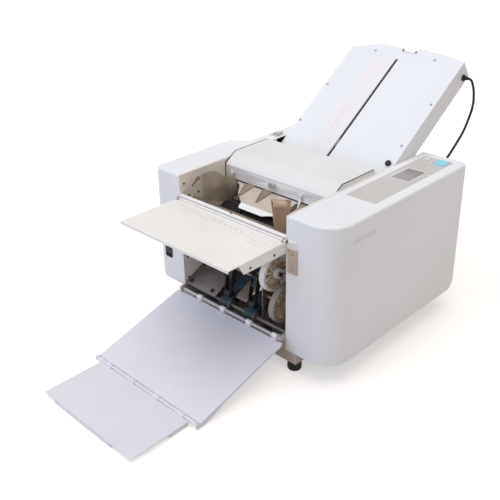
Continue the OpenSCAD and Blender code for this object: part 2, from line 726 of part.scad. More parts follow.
module plate_channel() color("#77787b") in_plate() {
    // two sheets with the paper's path between them
    for (n = [-paper_n + channel_gap / 2, -paper_n - channel_gap / 2 - channel_t]) translate([0, 0, n]) difference() {
        translate([-channel_half, -plate_tail + 1, 0]) cube([2 * channel_half, channel_s1 + plate_tail - 1, channel_t]);
        if (n > -paper_n) translate([slot_x - 3, -plate_tail + 12, -1]) cube([6, channel_s1 + plate_tail - 24, channel_t + 2]);
    }
    // side strips that join the sheets and hang them in the shell
    for (x = [-channel_half - 3, channel_half]) translate([x, -plate_tail + 1, -plate_t + 1.5])
        cube([3, channel_s1 + plate_tail - 1, plate_t - 1.5 - skin]);
    // rod of the carriage, in two end blocks
    translate([rod_x, belt_s0 - 12, -10]) rotate([-90, 0, 0]) cylinder(r = 3, h = belt_s1 - belt_s0 - 8);
    for (s = [belt_s0 - 14, channel_s1 - 8]) translate([rod_x - 6, s, -paper_n + channel_gap / 2 + channel_t - e])
        cube([12, 8, paper_n - channel_gap / 2 - channel_t - skin - 1]);
    // pin of the lower pulley
    translate([belt_x, belt_s0, -paper_n + channel_gap / 2 + channel_t - e]) cylinder(r = 3, h = 12);
}

module stop_carriage() color("#d8d4cb") in_plate() {
    // stop bar in the paper's path
    translate([-130, stop_s, -paper_n - channel_gap / 2 + 0.5]) cube([260, 8, channel_gap - 1]);
    // web through the slot of the upper sheet, and the pointer
    translate([slot_x - 1, stop_s, -paper_n - channel_gap / 2 + 0.6]) cube([2, 8, paper_n + channel_gap / 2 - 1.6]);
    // block on the rod, clamped to the belt's near strand
    difference() {
        translate([belt_x + belt_r - 3, stop_s - 6, -16]) cube([rod_x + 8 - (belt_x + belt_r - 3), 20, 12]);
        translate([rod_x, stop_s - 8, -10]) rotate([-90, 0, 0]) cylinder(r = 3 + run, h = 30);
        translate([belt_x + belt_r - 0.2, stop_s - 8, -14]) cube([1.8, 30, 8]);
    }
}

// toothed belt round the two pulleys
module stop_belt() color("#1b1b1c") in_plate() translate([belt_x, 0, -13.6]) linear_extrude(6) difference() {
    union() {
        translate([0, belt_s0]) circle(belt_r + run + 1.2);
        translate([0, belt_s1]) circle(belt_r + run + 1.2);
        translate([-belt_r - run - 1.2, belt_s0]) square([2 * (belt_r + run + 1.2), belt_s1 - belt_s0]);
    }
    translate([0, belt_s0]) circle(belt_r + run);
    translate([0, belt_s1]) circle(belt_r + run);
    translate([-belt_r - run, belt_s0]) square([2 * (belt_r + run), belt_s1 - belt_s0]);
}

module pulley_at(s) in_plate() translate([belt_x, s, -14.4]) {
    translate([0, 0, 0.6]) cylinder(r = belt_r, h = 6.4);
    cylinder(r = belt_r + 2.5, h = 0.6);
    translate([0, 0, 7]) cylinder(r = belt_r + 2.5, h = 0.6);
}

// the low pulley turns on a pin, the high one on the motor's shaft
module belt_pulley_low() color("#cfcfd1") difference() {
    pulley_at(belt_s0);
    in_plate() translate([belt_x, belt_s0, -16]) cylinder(r = 3 + run, h = 12);
}
module belt_pulley_high() color("#cfcfd1") {
    pulley_at(belt_s1);
    in_plate() translate([belt_x, belt_s1, -40]) cylinder(r = 3, h = 30);
}

module stop_motor() color("#3d3e42") in_plate() {
    difference() {
        translate([belt_x - 18, belt_s1 - 18, -plate_t + 1.5]) cube([36, 36, 28]);
        translate([belt_x, belt_s1, -42]) cylinder(r = 3 + run, h = 30);
    }
}

module lock_knob() color("#3a3a3c") in_plate() {
    translate([150, -14, 0]) difference() {
        cylinder(r = 7, h = 6);
        for (a = [0:45:315]) rotate(a) translate([7.8, 0, -1]) cylinder(r = 1.6, h = 8, $fn = 16);
    }
    translate([150, -14, -10]) cylinder(r = 3, h = 11);
}

module lead_fittings() color("#1b1b1c") {
    in_plate() translate([plate_half - skin - 2, grommet_s, grommet_n]) rotate([0, 90, 0]) difference() {
        union() {
            cylinder(r = 5.9, h = skin + 4);
            translate([0, 0, skin + 2]) cylinder(r = 8, h = 4);
        }
        translate([0, 0, -1]) cylinder(r = lead_d / 2 + run, h = 12);
    }
    translate([socket_x, house_len - shell_t - 2, socket_z]) rotate([-90, 0, 0]) difference() {
        union() {
            cylinder(r = 5.9, h = shell_t + 3);
            translate([0, 0, shell_t + 2]) cylinder(r = 8.5, h = 3);
        }
        translate([0, 0, -1]) cylinder(r = lead_d / 2 + run, h = 12);
    }
}

module lead() color("#18181a") tube_along(lead_path, lead_d);

// ---- delivery ----

module tray_rod() color("#d5d5d8") {
    bar_x(rod_r, -in_x, in_x, rod_y, rod_z);
    mirrored() difference() {
        side(in_x - 6, in_x) {
            translate([rod_y, rod_z]) circle(6);
            polygon([[rod_y, rod_z - 6], [0.5, rod_z - 6], [8, rod_z - 6], [8, rod_z + 6], [rod_y, rod_z + 6]]);
        }
    }
}

// the tray's own frame: y down the slope from the rod, z out of its top
module in_tray() translate([0, rod_y, rod_z]) rotate([tray_deg, 0, 0]) children();

module exit_tray() color("#dfe0ea") {
    in_tray() {
        difference() {
            translate([-tray_half, -tray_len, -5 - tray_t]) cube([2 * tray_half, tray_len - 6, tray_t]);
            for (x = [-93, -17, 66, 144]) translate([x - 9, -8, -12]) cube([18, 3, 12]);
        }
        // stiffening lips under the sides
        for (x = [-tray_half, tray_half - tray_t]) translate([x, -200, -5 - tray_t - 5]) cube([tray_t, 190, 5 + e]);
        // hooks round the rod
        for (x = [-93, -17, 66, 144]) side(x - 7, x + 7) difference() {
            union() {
                circle(rod_r + run + 1.8);
                translate([-14, -5 - tray_t]) square([14, tray_t + 2]);
            }
            circle(rod_r + run);
            translate([0, -rod_r - 4]) square([10, rod_r + 3]);
        }
    }
    // end bar, held by a deep lip on the right and a clip on the left
    bar_x(tray_bar_r, -tray_half, tray_half, ext_y, ext_z);
    side(tray_half - tray_t - 0.3, tray_half - 0.3) {
        translate([ext_y, ext_z]) circle(tray_bar_r + 0.5);
        polygon([[ext_y - 3, 1], [ext_y - 3, ext_z], [ext_y, ext_z + 2.5], [ext_y + 8, tray_under(ext_y + 8) + 1],
            [ext_y + 68, tray_under(ext_y + 68) + 1], [ext_y + 68, tray_under(ext_y + 68) - 8], [ext_y + 16, 1]]);
    }
    side(-tray_half + 0.3, -tray_half + tray_t + 0.3) {
        translate([ext_y, ext_z]) circle(tray_bar_r + 0.5);
        polygon([[ext_y - 3, 5], [ext_y - 3, ext_z], [ext_y, ext_z + 2.5], [ext_y + 8, tray_under(ext_y + 8) + 1],
            [ext_y + 26, tray_under(ext_y + 26) + 1], [ext_y + 26, tray_under(ext_y + 26) - 5], [ext_y + 8, 5]]);
    }
}

module tray_extension() color("#dcdde8") difference() {
    union() {
        box(-ext_half, ext_half, ext_y - ext_len - 4, ext_y - 5, ext_top - tray_t, ext_top);
        box(-ext_half + 35, ext_half - 64, ext_y - ext_len - 4, ext_y - ext_len - 4 + tray_t, 1, ext_top);
        for (x = [-ext_half, ext_half - tray_t]) box(x, x + tray_t, ext_y - 56, ext_y - 6, 3, ext_top);
        for (x = [-120, -40, 40, 120]) side(x - 10, x + 10) {
            translate([ext_y, ext_z]) circle(tray_bar_r + run + 1.5);
            translate([ext_y - 8, ext_top - tray_t]) square([8, tray_t]);
        }
    }
    bar_x(tray_bar_r + run, -in_x, in_x, ext_y, ext_z);
}

// one belt round both pulleys
module belt_loop(x) translate([x - belt_w / 2 + 0.2, front_shaft[0], front_shaft[1]]) rotate([belt_deg, 0, 0])
    rotate([90, 0, 90]) linear_extrude(belt_w - 0.4) difference() {
        union() {
            circle(pulley_r + run + belt_t);
            translate([belt_len, 0]) circle(pulley_r + run + belt_t);
            translate([0, -pulley_r - run - belt_t]) square([belt_len, 2 * (pulley_r + run + belt_t)]);
        }
        circle(pulley_r + run);
        translate([belt_len, 0]) circle(pulley_r + run);
        translate([0, -pulley_r - run]) square([belt_len, 2 * (pulley_r + run)]);
    }

module delivery_belts() color("#23404a") for (x = belts_x) belt_loop(x);

module belt_shaft(p, x1) {
    bar_x(shaft_r, -out_x - 3, x1, p[0], p[1]);
    for (x = belts_x) {
        bar_x(pulley_r, x - belt_w / 2, x + belt_w / 2, p[0], p[1]);
        for (s = [-belt_w / 2 - 2, belt_w / 2]) bar_x(pulley_r + 2.5, x + s, x + s + 2, p[0], p[1]);
    }
}

module belt_shaft_front() color("#8f9092") belt_shaft(front_shaft, out_x + 3);
module belt_shaft_rear() color("#8f9092") belt_shaft(rear_shaft, out_x + 28);

module paper_guides() color("#7b787a") {
    // feed guides between the feed roller and the first nip
    for (z = [0, 7]) {
        side(-feed_half, feed_half) bent([[feed_y + feed_r + 4, 298 + z], [apron_y + 2, 303 + z]], 1.2);
        side(-in_x, in_x) bent([[apron_y + 2 - e, 303 + z], [nip_y - 24, 314 + z * 0.9]], 1.2);
    }
    // exit guide from the last nip down to the belts
    side(-in_x, in_x) bent([[nip_y - 24, 268], [240, 252], [205, 222], [180, 172], [176, 162]], 1.2);
    // chute left of the belts
    side(-in_x, -60) bent([[2.5, 94], [66, 126], [150, 171]], 1.2);
}

module wheel_bracket() color("#5f574f") {
    side(bracket_x, bracket_x + 3) difference() {
        polygon([[30, floor_z], [62, floor_z], [62, 190], [56, 214], [36, 214], [30, 190]]);
        round_rect(38, 54, 60, 110, 6);
    }
    box(bracket_x, bracket_x + 22, 30, 62, floor_z, floor_z + 2);
    bar_x(axle_r, bracket_x, upper_wheel[0] + 17, upper_wheel[1], upper_wheel[2]);
    bar_x(axle_r, bracket_x, lower_wheel[0] + 17, lower_wheel[1], lower_wheel[2]);
    // rod of the press arms
    bar_x(4, -in_x, bracket_x + 1, press_y, press_z);
}

module press_arms() color("#2e2c2a") for (x = belts_x) {
    difference() {
        union() {
            side(x - 3, x + 3) difference() {
                union() {
                    translate([press_y, press_z]) circle(8);
                    translate([press_roller_y, press_roller_z]) circle(5);
                    polygon([[press_y - 8, press_z], [press_roller_y - 5, press_roller_z],
                        [press_roller_y + 5, press_roller_z], [press_y + 8, press_z]]);
                }
            }
            bar_x(press_r, x - 9, x - 4, press_roller_y, press_roller_z);
            bar_x(press_r, x + 4, x + 9, press_roller_y, press_roller_z);
            bar_x(2.5, x - 9, x + 9, press_roller_y, press_roller_z);
        }
        bar_x(4 + run, x - 4, x + 4, press_y, press_z);
    }
}

// a wheel with a tyre, spokes and a hub that stands out on the right
module spoked_wheel(c, spokes) difference() {
    union() {
        translate([c[0] - wheel_w / 2, c[1], c[2]]) rotate([90, 0, 90]) {
            linear_extrude(wheel_w) difference() { circle(wheel_r, $fn = 96); circle(wheel_r - 7, $fn = 96); }
            translate([0, 0, wheel_w / 2 - 3]) linear_extrude(5) difference() {
                circle(wheel_r - 6, $fn = 96);
                for (k = [0:spokes - 1]) rotate(k * 360 / spokes) translate([(wheel_r + 5) / 2, 0]) {
                    circle(4.2);
                    translate([7, 0]) circle(5.6);
                    translate([0, -4]) square([7, 8]);
                }
            }
        }
        bar_x(12, c[0] - wheel_w / 2, c[0] + wheel_w / 2 + 7, c[1], c[2]);
    }
    bar_x(axle_r + run, c[0] - wheel_w, c[0] + wheel_w + 10, c[1], c[2]);
}

module wheel_upper() color("#d9d4cc") spoked_wheel(upper_wheel, 10);
module wheel_lower() color("#d9d4cc") spoked_wheel(lower_wheel, 10);

placed() base_pan();
placed() feet();
placed() frame_left();
placed() frame_right();
placed() house_left();
placed() house_right();
placed() rear_panel();
placed() stays();
placed() control_panel();
placed() display_bezel();
placed() display_screen();
placed() key_start();
placed() key_stop();
placed() key_mode();
placed() key_board();
placed() switch_body();
placed() power_rocker();
placed() mains_inlet();
placed() feed_table();
placed() table_brackets();
placed() front_bar();
placed() feed_deck();
placed() stack_ramp();
placed() guide_rail();
placed() side_guide_left();
placed() side_guide_right();
placed() top_cover();
placed() separator_fingers();
placed() pressure_knob();
placed() apron_posts();
placed() feed_roller();
placed() fold_roller_1();
placed() fold_roller_2();
placed() fold_roller_3();
placed() fold_roller_4();
placed() motors();
placed() lower_plate();
placed() lower_stop();
placed() plate_shell();
placed() plate_base();
placed() plate_channel();
placed() stop_carriage();
placed() stop_belt();
placed() belt_pulley_low();
placed() belt_pulley_high();
placed() stop_motor();
placed() lock_knob();
placed() lead();
placed() lead_fittings();
placed() exit_tray();
placed() tray_rod();
placed() tray_extension();
placed() delivery_belts();
placed() belt_shaft_front();
placed() belt_shaft_rear();
placed() paper_guides();
placed() wheel_bracket();
placed() press_arms();
placed() wheel_upper();
placed() wheel_lower();
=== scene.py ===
"""Paper folding machine: the dressed visual model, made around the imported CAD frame.

Places written as at(x, y, z) are millimetres in the machine's own frame: x 0 at the middle of the
feed opening, y 0 at the front faces of the housings, z 0 at the surface that the feet stand on.
"""

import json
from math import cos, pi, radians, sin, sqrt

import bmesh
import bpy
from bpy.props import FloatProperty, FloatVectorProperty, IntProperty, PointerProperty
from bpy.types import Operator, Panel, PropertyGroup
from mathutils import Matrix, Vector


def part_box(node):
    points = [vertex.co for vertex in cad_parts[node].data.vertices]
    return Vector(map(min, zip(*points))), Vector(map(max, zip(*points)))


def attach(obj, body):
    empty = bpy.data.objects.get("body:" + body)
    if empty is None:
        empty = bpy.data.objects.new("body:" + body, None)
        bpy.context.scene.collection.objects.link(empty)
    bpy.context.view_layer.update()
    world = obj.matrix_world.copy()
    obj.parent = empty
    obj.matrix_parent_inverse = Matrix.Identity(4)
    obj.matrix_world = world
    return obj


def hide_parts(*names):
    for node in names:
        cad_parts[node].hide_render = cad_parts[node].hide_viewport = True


bl_info = {
    "name": "Paper Folding Machine",
    "version": (1, 0, 0),
    "blender": (4, 5, 0),
    "location": "View3D > Sidebar > Folder",
    "description": "Dresses the packed paper folding machine with its finishes and fine parts",
    "category": "Object",
}

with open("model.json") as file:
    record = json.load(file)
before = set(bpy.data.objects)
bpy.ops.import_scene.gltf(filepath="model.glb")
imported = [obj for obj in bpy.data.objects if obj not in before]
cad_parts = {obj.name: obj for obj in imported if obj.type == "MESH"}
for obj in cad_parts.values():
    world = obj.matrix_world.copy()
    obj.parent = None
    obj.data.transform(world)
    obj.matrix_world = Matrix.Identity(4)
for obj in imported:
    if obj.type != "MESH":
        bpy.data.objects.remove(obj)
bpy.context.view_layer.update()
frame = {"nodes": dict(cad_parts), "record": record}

ROOT = "machine"
MM = 0.001
FRONT_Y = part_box("house_right")[0].y
MIDDLE_X = (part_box("frame_left")[0].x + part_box("frame_right")[1].x) / 2
HOUSE_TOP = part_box("house_right")[1].z / MM
# the upper fold plate's slope, and the place of its lower end
PLATE_DEG = 34
PLATE_Y, PLATE_Z = 388, HOUSE_TOP + 6
# top of the feed table, its hinge, the tray's rod and the press wheels' middles, in millimetres
TABLE_Z = 320
HINGE_Y, HINGE_Z = -4, 322
ROD_Y, ROD_Z = -12, 86
WHEELS = {"wheel_upper": (91, 46, 200.6), "wheel_lower": (118, 46, 130.6)}
# middles of the delivery belts and of the apron's catches
BELTS_X = (-35, 42)
CATCHES_X = (-137, 77)
# the photograph's camera: place, azimuth, elevation and roll in degrees, lens and shift
CAMERA_AT = (1060.1, -1038.6, 1017.8)
CAMERA_TURN = (46.413, 25.305, -1.898)
CAMERA_LENS = 54.08
CAMERA_SHIFT = (0.0602, -0.0602)


# ---------------------------------------------------------------- places

def at(x, y, z):
    """A place in the machine's own frame, in millimetres, as a point of the shared frame."""
    return Vector((x * MM + MIDDLE_X, y * MM + FRONT_Y, z * MM))


PLACE = Matrix.Translation(at(0, 0, 0)) @ Matrix.Scale(MM, 4)
IN_PLATE = PLACE @ Matrix.Translation((0, PLATE_Y, PLATE_Z)) @ Matrix.Rotation(radians(PLATE_DEG), 4, "X")
SIDE_VIEW = Matrix(((0, 0, 1, 0), (1, 0, 0, 0), (0, 1, 0, 0), (0, 0, 0, 1)))


def facing(spot, direction):
    """A matrix in millimetres that stands local +Z along direction at spot."""
    turn = Vector(direction).normalized().to_track_quat("Z", "Y").to_matrix().to_4x4()
    return Matrix.Translation(spot) @ turn


# ---------------------------------------------------------------- settings

def length_property(name, default, low, high, description):
    return FloatProperty(name=name, description=description, default=default, min=low, max=high,
                         unit="LENGTH")


def count_property(name, default, low, high, description):
    return IntProperty(name=name, description=description, default=default, min=low, max=high)


def colour_property(name, default, description):
    return FloatVectorProperty(name=name, description=description, default=default,
                               subtype="COLOR", size=3, min=0.0, max=1.0)


class FolderSizes(PropertyGroup):
    housing_edge: length_property("Housing edge", 0.005, 0.001, 0.008, "Radius of the housings' upper edges")
    cover_edge: length_property("Cover edge", 0.0022, 0.0005, 0.0024, "Radius of the cover's outer edges")
    plate_edge: length_property("Fold plate edge", 0.002, 0.0005, 0.0024,
                                "Radius of the fold plate's upper edges")
    sheet_edge: length_property("Sheet edge", 0.0004, 0.0001, 0.0007, "Easing of cut sheet metal edges")
    screw_head: length_property("Screw head", 0.0064, 0.004, 0.009, "Diameter of the pan head screws")
    lead_diameter: length_property("Lead", 0.006, 0.004, 0.008, "Diameter of the stop motor's lead")
    wheel_ribs: count_property("Wheel ribs", 14, 8, 24, "Radial ribs of each press wheel")
    scale_marks: count_property("Scale marks", 68, 20, 120, "Marks of the fold plate's scale")


class FolderColours(PropertyGroup):
    shell: colour_property("Housings", (0.80, 0.81, 0.83), "Moulded housings and fold plate")
    cover: colour_property("Cover", (0.745, 0.74, 0.73), "Top cover")
    tray: colour_property("Trays", (0.70, 0.70, 0.76), "Painted exit tray and its extension")
    table: colour_property("Feed table", (0.81, 0.79, 0.76), "Painted feed table")
    panel: colour_property("Control panel", (0.56, 0.52, 0.505), "Printed overlay of the control panel")
    start_key: colour_property("Start key", (0.24, 0.62, 0.78), "Start key")
    belt: colour_property("Belts", (0.012, 0.032, 0.045), "Delivery belts")
    # the side guides' brown stands in for the stainless steel's reflection of the brown interior: a painted
    # reflection
    guide: colour_property("Side guides", (0.46, 0.38, 0.31), "Stainless side guides")


# ---------------------------------------------------------------- nodes and finishes

FINISHES = {}
GRAIN_DEPTH = 0.0002


def feed(tree, node, inputs):
    """Gives each input of a node a value or another node's output."""
    for key, value in inputs.items():
        if isinstance(value, bpy.types.NodeSocket):
            tree.links.new(value, node.inputs[key])
        else:
            node.inputs[key].default_value = value


def add(tree, kind, inputs=None, **settings):
    """A new node in a tree, with its settings and inputs."""
    made = tree.nodes.new(kind)
    for name, value in settings.items():
        setattr(made, name, value)
    feed(tree, made, inputs or {})
    return made


def finish(name, first, second, rough, grain, bump, patch=14, metal=0.0, stretch=(1, 1, 1), coat=0.0,
           specular=0.5):
    """A procedural finish: a fine grain, and slow changes from the first colour to the second.

    The second is a colour or a share of the first.
    """
    first = tuple(first)
    if not isinstance(second, tuple):
        second = tuple(c * second for c in first)
    made = bpy.data.materials.new(name)
    made.use_nodes = True
    made.diffuse_color = (*first, 1)
    tree = made.node_tree
    where = add(tree, "ShaderNodeTexCoord").outputs["Object"]
    mapping = add(tree, "ShaderNodeMapping", {"Vector": where, "Scale": stretch})
    fine = add(tree, "ShaderNodeTexNoise", {"Vector": mapping.outputs[0], "Scale": grain, "Detail": 3.0})
    relief = add(tree, "ShaderNodeBump", {"Strength": bump, "Distance": GRAIN_DEPTH,
                                          "Height": fine.outputs["Fac"]})
    slow = add(tree, "ShaderNodeTexNoise", {"Vector": where, "Scale": patch, "Detail": 4.0})
    spread = add(tree, "ShaderNodeMapRange", {"Value": slow.outputs["Fac"], "From Min": 0.32, "From Max": 0.68})
    blend = add(tree, "ShaderNodeMix", {0: spread.outputs["Result"], 6: (*first, 1), 7: (*second, 1)},
                data_type="RGBA")
    gloss = add(tree, "ShaderNodeMapRange", {"Value": fine.outputs["Fac"], "From Min": 0.3, "From Max": 0.7,
                                             "To Min": rough[0], "To Max": rough[1]})
    feed(tree, tree.nodes["Principled BSDF"], {
        "Base Color": blend.outputs[2], "Roughness": gloss.outputs["Result"],
        "Normal": relief.outputs["Normal"],
        "Metallic": metal, "Specular IOR Level": specular, "Coat Weight": coat, "Coat Roughness": 0.12})
    FINISHES[name] = made


def make_finishes(own):
    """One finish for each of the record's material slots, and some for fine parts.

    Columns: name, first colour, second colour, roughness, grain, bump, patch, and what else differs.
    """
    along_x, along_y, along_z = (14, 1, 1), (1, 8, 1), (1, 1, 14)
    table = (
        ("shell_white", own.shell, 0.93, (0.42, 0.55), 1500, 0.05, 3),
        ("cover_white", own.cover, 0.93, (0.42, 0.52), 1500, 0.05, 4),
        ("tray_white", own.tray, 0.96, (0.34, 0.46), 2200, 0.04, 14),
        ("table_white", own.table, 0.965, (0.3, 0.42), 2200, 0.04, 14),
        ("frame_grey", (0.88, 0.825, 0.77), (0.82, 0.77, 0.715), (0.42, 0.6), 700, 0.05, 22),
        ("pan_steel", (0.55, 0.49, 0.44), (0.42, 0.37, 0.33), (0.42, 0.6), 300, 0.08, 30),
        ("bracket_steel", (0.52, 0.41, 0.34), (0.45, 0.35, 0.29), (0.4, 0.55), 900, 0.05, 50),
        # the stainless guides' colours are painted light: brown with darker patches as a painted reflection of
        # the interior, a lighter tan copy of the same steel, and a dark copy for painted shade
        ("guide_steel", own.guide, 0.5, (0.3, 0.44), 500, 0.035, 17, {"metal": 0.15, "stretch": along_z}),
        ("guide_tan", (0.60, 0.44, 0.31), (0.47, 0.35, 0.26), (0.34, 0.46), 500, 0.035, 20,
         {"metal": 0.2, "stretch": along_z}),
        ("guide_dark", (0.30, 0.225, 0.165), (0.25, 0.19, 0.14), (0.4, 0.5), 500, 0.035, 20),
        ("bright_steel", (0.62, 0.61, 0.60), (0.5, 0.49, 0.48), (0.2, 0.34), 400, 0.04, 30,
         {"metal": 1.0, "stretch": along_x}),
        ("dark_steel", (0.15, 0.115, 0.09), (0.27, 0.205, 0.16), (0.34, 0.5), 500, 0.06, 60, {"metal": 0.6}),
        ("guide_grey", (0.17, 0.155, 0.155), (0.235, 0.215, 0.21), (0.36, 0.5), 500, 0.05, 24,
         {"metal": 0.6, "stretch": along_y}),
        ("cream_sheet", (0.56, 0.49, 0.42), (0.48, 0.415, 0.35), (0.32, 0.45), 1200, 0.04, 24),
        ("black_rubber", (0.013, 0.012, 0.012), (0.02, 0.019, 0.018), (0.6, 0.75), 1200, 0.15, 14,
         {"specular": 0.25}),
        ("belt_teal", own.belt, 1.5, (0.5, 0.66), 2600, 0.2, 40),
        ("roller_rubber", (0.085, 0.062, 0.05), (0.16, 0.12, 0.095), (0.55, 0.7), 1600, 0.18, 50),
        ("black_plastic", (0.012, 0.012, 0.013), (0.02, 0.02, 0.021), (0.45, 0.6), 1800, 0.08, 14,
         {"specular": 0.3}),
        ("wheel_plastic", (0.84, 0.83, 0.82), (0.77, 0.75, 0.73), (0.4, 0.52), 1400, 0.06, 40),
        ("panel_grey", own.panel, 0.97, (0.38, 0.48), 2400, 0.04, 14),
        ("bezel_white", (0.84, 0.84, 0.84), 0.93, (0.3, 0.4), 1800, 0.03, 14),
        ("screen_grey", (0.235, 0.22, 0.215), (0.27, 0.255, 0.25), (0.1, 0.16), 2800, 0.01, 26, {"coat": 0.4}),
        ("key_cyan", own.start_key, 0.94, (0.3, 0.4), 1800, 0.04, 14),
        ("key_pale", (0.66, 0.67, 0.72), 0.93, (0.3, 0.4), 1800, 0.04, 14),
        ("key_pink", (0.74, 0.58, 0.6), 0.93, (0.3, 0.4), 1800, 0.04, 14),
        ("board_green", (0.05, 0.14, 0.07), (0.08, 0.2, 0.1), (0.3, 0.42), 500, 0.2, 180),
        ("motor_black", (0.03, 0.03, 0.033), (0.055, 0.055, 0.06), (0.4, 0.55), 900, 0.1, 60),
        ("carriage_plastic", (0.66, 0.64, 0.59), (0.6, 0.58, 0.53), (0.4, 0.5), 1500, 0.06, 14),
        # fine parts
        ("screw_zinc", (0.34, 0.33, 0.32), (0.24, 0.23, 0.22), (0.3, 0.45), 900, 0.05, 220, {"metal": 1.0}),
        ("screw_black", (0.03, 0.028, 0.026), (0.05, 0.046, 0.042), (0.4, 0.5), 900, 0.05, 14, {"metal": 0.3}),
        # the press wheels' web and ribs: brown as painted shade, with cream spots as painted highlights
        ("wheel_brown", (0.36, 0.20, 0.095), (0.66, 0.53, 0.38), (0.55, 0.7), 900, 0.08, 90, {"specular": 0.2}),
        # a darker copy of the wheel plastic for the lower wheel: painted shade
        ("wheel_shade", (0.34, 0.295, 0.255), (0.27, 0.23, 0.195), (0.45, 0.6), 1400, 0.06, 40),
        ("dull_steel", (0.20, 0.185, 0.175), (0.14, 0.125, 0.115), (0.42, 0.55), 500, 0.04, 40,
         {"metal": 0.5, "stretch": along_x}),
        ("rod_grey", (0.44, 0.43, 0.44), (0.37, 0.36, 0.37), (0.3, 0.42), 500, 0.03, 40, {"metal": 0.2}),
        ("brown_sheet", (0.36, 0.28, 0.225), (0.24, 0.18, 0.145), (0.4, 0.55), 700, 0.06, 36, {"metal": 0.2}),
        ("ink_grey", (0.30, 0.28, 0.28), (0.42, 0.38, 0.38), (0.5, 0.6), 1500, 0.02, 200),
        ("ink_pink", (0.74, 0.45, 0.43), (0.80, 0.56, 0.52), (0.5, 0.6), 1500, 0.02, 150),
        ("ink_blue", (0.50, 0.56, 0.74), (0.60, 0.64, 0.78), (0.5, 0.6), 1500, 0.02, 150),
        ("label_pale", (0.80, 0.765, 0.775), (0.78, 0.775, 0.80), (0.4, 0.5), 2000, 0.03, 10))
    for *columns, last in (entry if isinstance(entry[-1], dict) else (*entry, {}) for entry in table):
        finish(*columns, **last)


# ---------------------------------------------------------------- making pieces

BODY_OF = {node: body for body, nodes in frame["record"]["behaviour"]["bodies"].items() for node in nodes}
SLOT_OF = {part["node"]: part["material_slot"] for part in frame["record"]["subparts"]}


def new_object(name, shape):
    """An object in the scene from a bmesh, which is used up."""
    mesh = bpy.data.meshes.new(name)
    shape.to_mesh(mesh)
    shape.free()
    obj = bpy.data.objects.new(name, mesh)
    bpy.context.scene.collection.objects.link(obj)
    return obj


def keep_result(obj):
    """Turns an object's modifiers into its plain mesh."""
    depsgraph = bpy.context.evaluated_depsgraph_get()
    depsgraph.update()
    result = bpy.data.meshes.new_from_object(obj.evaluated_get(depsgraph), depsgraph=depsgraph)
    obj.modifiers.clear()
    obj.data = result


def piece(name, shape, slot, body=ROOT, place=None, replaces=(), smooth=38):
    """A finished piece from a bmesh (in millimetres where a place is given), riding on its body."""
    if place is not None:
        shape.transform(place)
    obj = new_object(name, shape)
    mesh = obj.data
    mesh.materials.append(FINISHES[slot])
    mesh.polygons.foreach_set("use_smooth", [True] * len(mesh.polygons))
    mesh.set_sharp_from_angle(angle=radians(smooth))
    obj.modifiers.new("even_shading", "WEIGHTED_NORMAL").keep_sharp = True
    keep_result(obj)
    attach(obj, body)
    if replaces:
        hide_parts(*replaces)
    return obj


def two_tone(obj, finish_name, test):
    """Gives the faces that test accepts a second finish."""
    obj.data.materials.append(FINISHES[finish_name])
    index = len(obj.data.materials) - 1
    for face in obj.data.polygons:
        if test(face.center):
            face.material_index = index


def solid_of(node):
    """A CAD node's shape as a bmesh, with its loose triangles joined and its flat faces whole."""
    shape = bmesh.new()
    shape.from_mesh(frame["nodes"][node].data)
    bmesh.ops.remove_doubles(shape, verts=shape.verts, dist=2e-6)
    bmesh.ops.dissolve_limit(shape, angle_limit=radians(0.5), verts=shape.verts, edges=shape.edges)
    return shape


def ease(shape, width, segments=2, pick=None, least=35):
    """Rounds the convex edges of a shape that are sharper than least degrees and that pick accepts."""
    shape.normal_update()
    edges = [edge for edge in shape.edges
             if len(edge.link_faces) == 2 and edge.is_convex
             and edge.calc_face_angle(0) > radians(least) and edge.calc_length() > width * 0.5
             and (pick is None or pick(edge))]
    if edges:
        bmesh.ops.bevel(shape, geom=edges, offset=width, segments=segments, profile=0.5,
                        affect="EDGES", clamp_overlap=True)


def eased(node, width, slot=None, passes=(), form=None):
    """Replaces a CAD node by its own shape with eased edges."""
    shape = solid_of(node)
    if form:
        form(shape)
    for pick, wide, segments in passes:
        ease(shape, wide, segments, pick)
    ease(shape, width)
    return piece(node + "_finished", shape, slot or SLOT_OF[node], BODY_OF[node], replaces=(node,))


def outward(shape):
    """The shape with its faces turned outwards."""
    bmesh.ops.recalc_face_normals(shape, faces=shape.faces)
    return shape


def round_point(radius, angle):
    return radius * cos(angle), radius * sin(angle)


def circle(shape, radius, z, steps):
    """A circle of new points round +Z."""
    return [shape.verts.new((*round_point(radius, 2 * pi * k / steps), z)) for k in range(steps)]


def band(shape, a, b):
    """Faces between two closed rows of as many points, or between a row and a single point."""
    steps = max(len(a), len(b))
    for k in range(steps):
        j = (k + 1) % steps
        corners = [a[k % len(a)], a[j % len(a)], b[j % len(b)], b[k % len(b)]]
        unique = list(dict.fromkeys(corners))
        if len(unique) > 2:
            shape.faces.new(unique)


def prism(outline, low, high):
    """An outline (u, v) drawn out from low to high along w."""
    shape = bmesh.new()
    rings = [[shape.verts.new((u, v, w)) for u, v in outline] for w in (low, high)]
    shape.faces.new(rings[0][::-1])
    shape.faces.new(rings[1])
    band(shape, *rings)
    return outward(shape)


def bent_sheet(points, thick, left, right):
    """A sheet that follows (y, z) points under their line, from left(y) to right(y) along x."""
    shape = bmesh.new()
    spots = [Vector(point) for point in points]
    last = len(spots) - 1
    rows = []
    for i, spot in enumerate(spots):
        before = (spot - spots[i - 1]).normalized() if i else (spots[1] - spot).normalized()
        after = (spots[i + 1] - spot).normalized() if i < last else before
        normal = Vector((before.y + after.y, -before.x - after.x)).normalized()
        under = spot + normal * thick / max(0.5, normal.dot(Vector((before.y, -before.x))))
        sides = (left(spot.x), right(spot.x))
        rows.append([shape.verts.new((x, p.x, p.y)) for p in (spot, under) for x in sides])
    for a, b in zip(rows, rows[1:]):
        for i, j in ((0, 1), (1, 3), (3, 2), (2, 0)):
            shape.faces.new((a[i], a[j], b[j], b[i]))
    for end in (rows[0], rows[-1]):
        shape.faces.new((end[0], end[1], end[3], end[2]))
    return outward(shape)


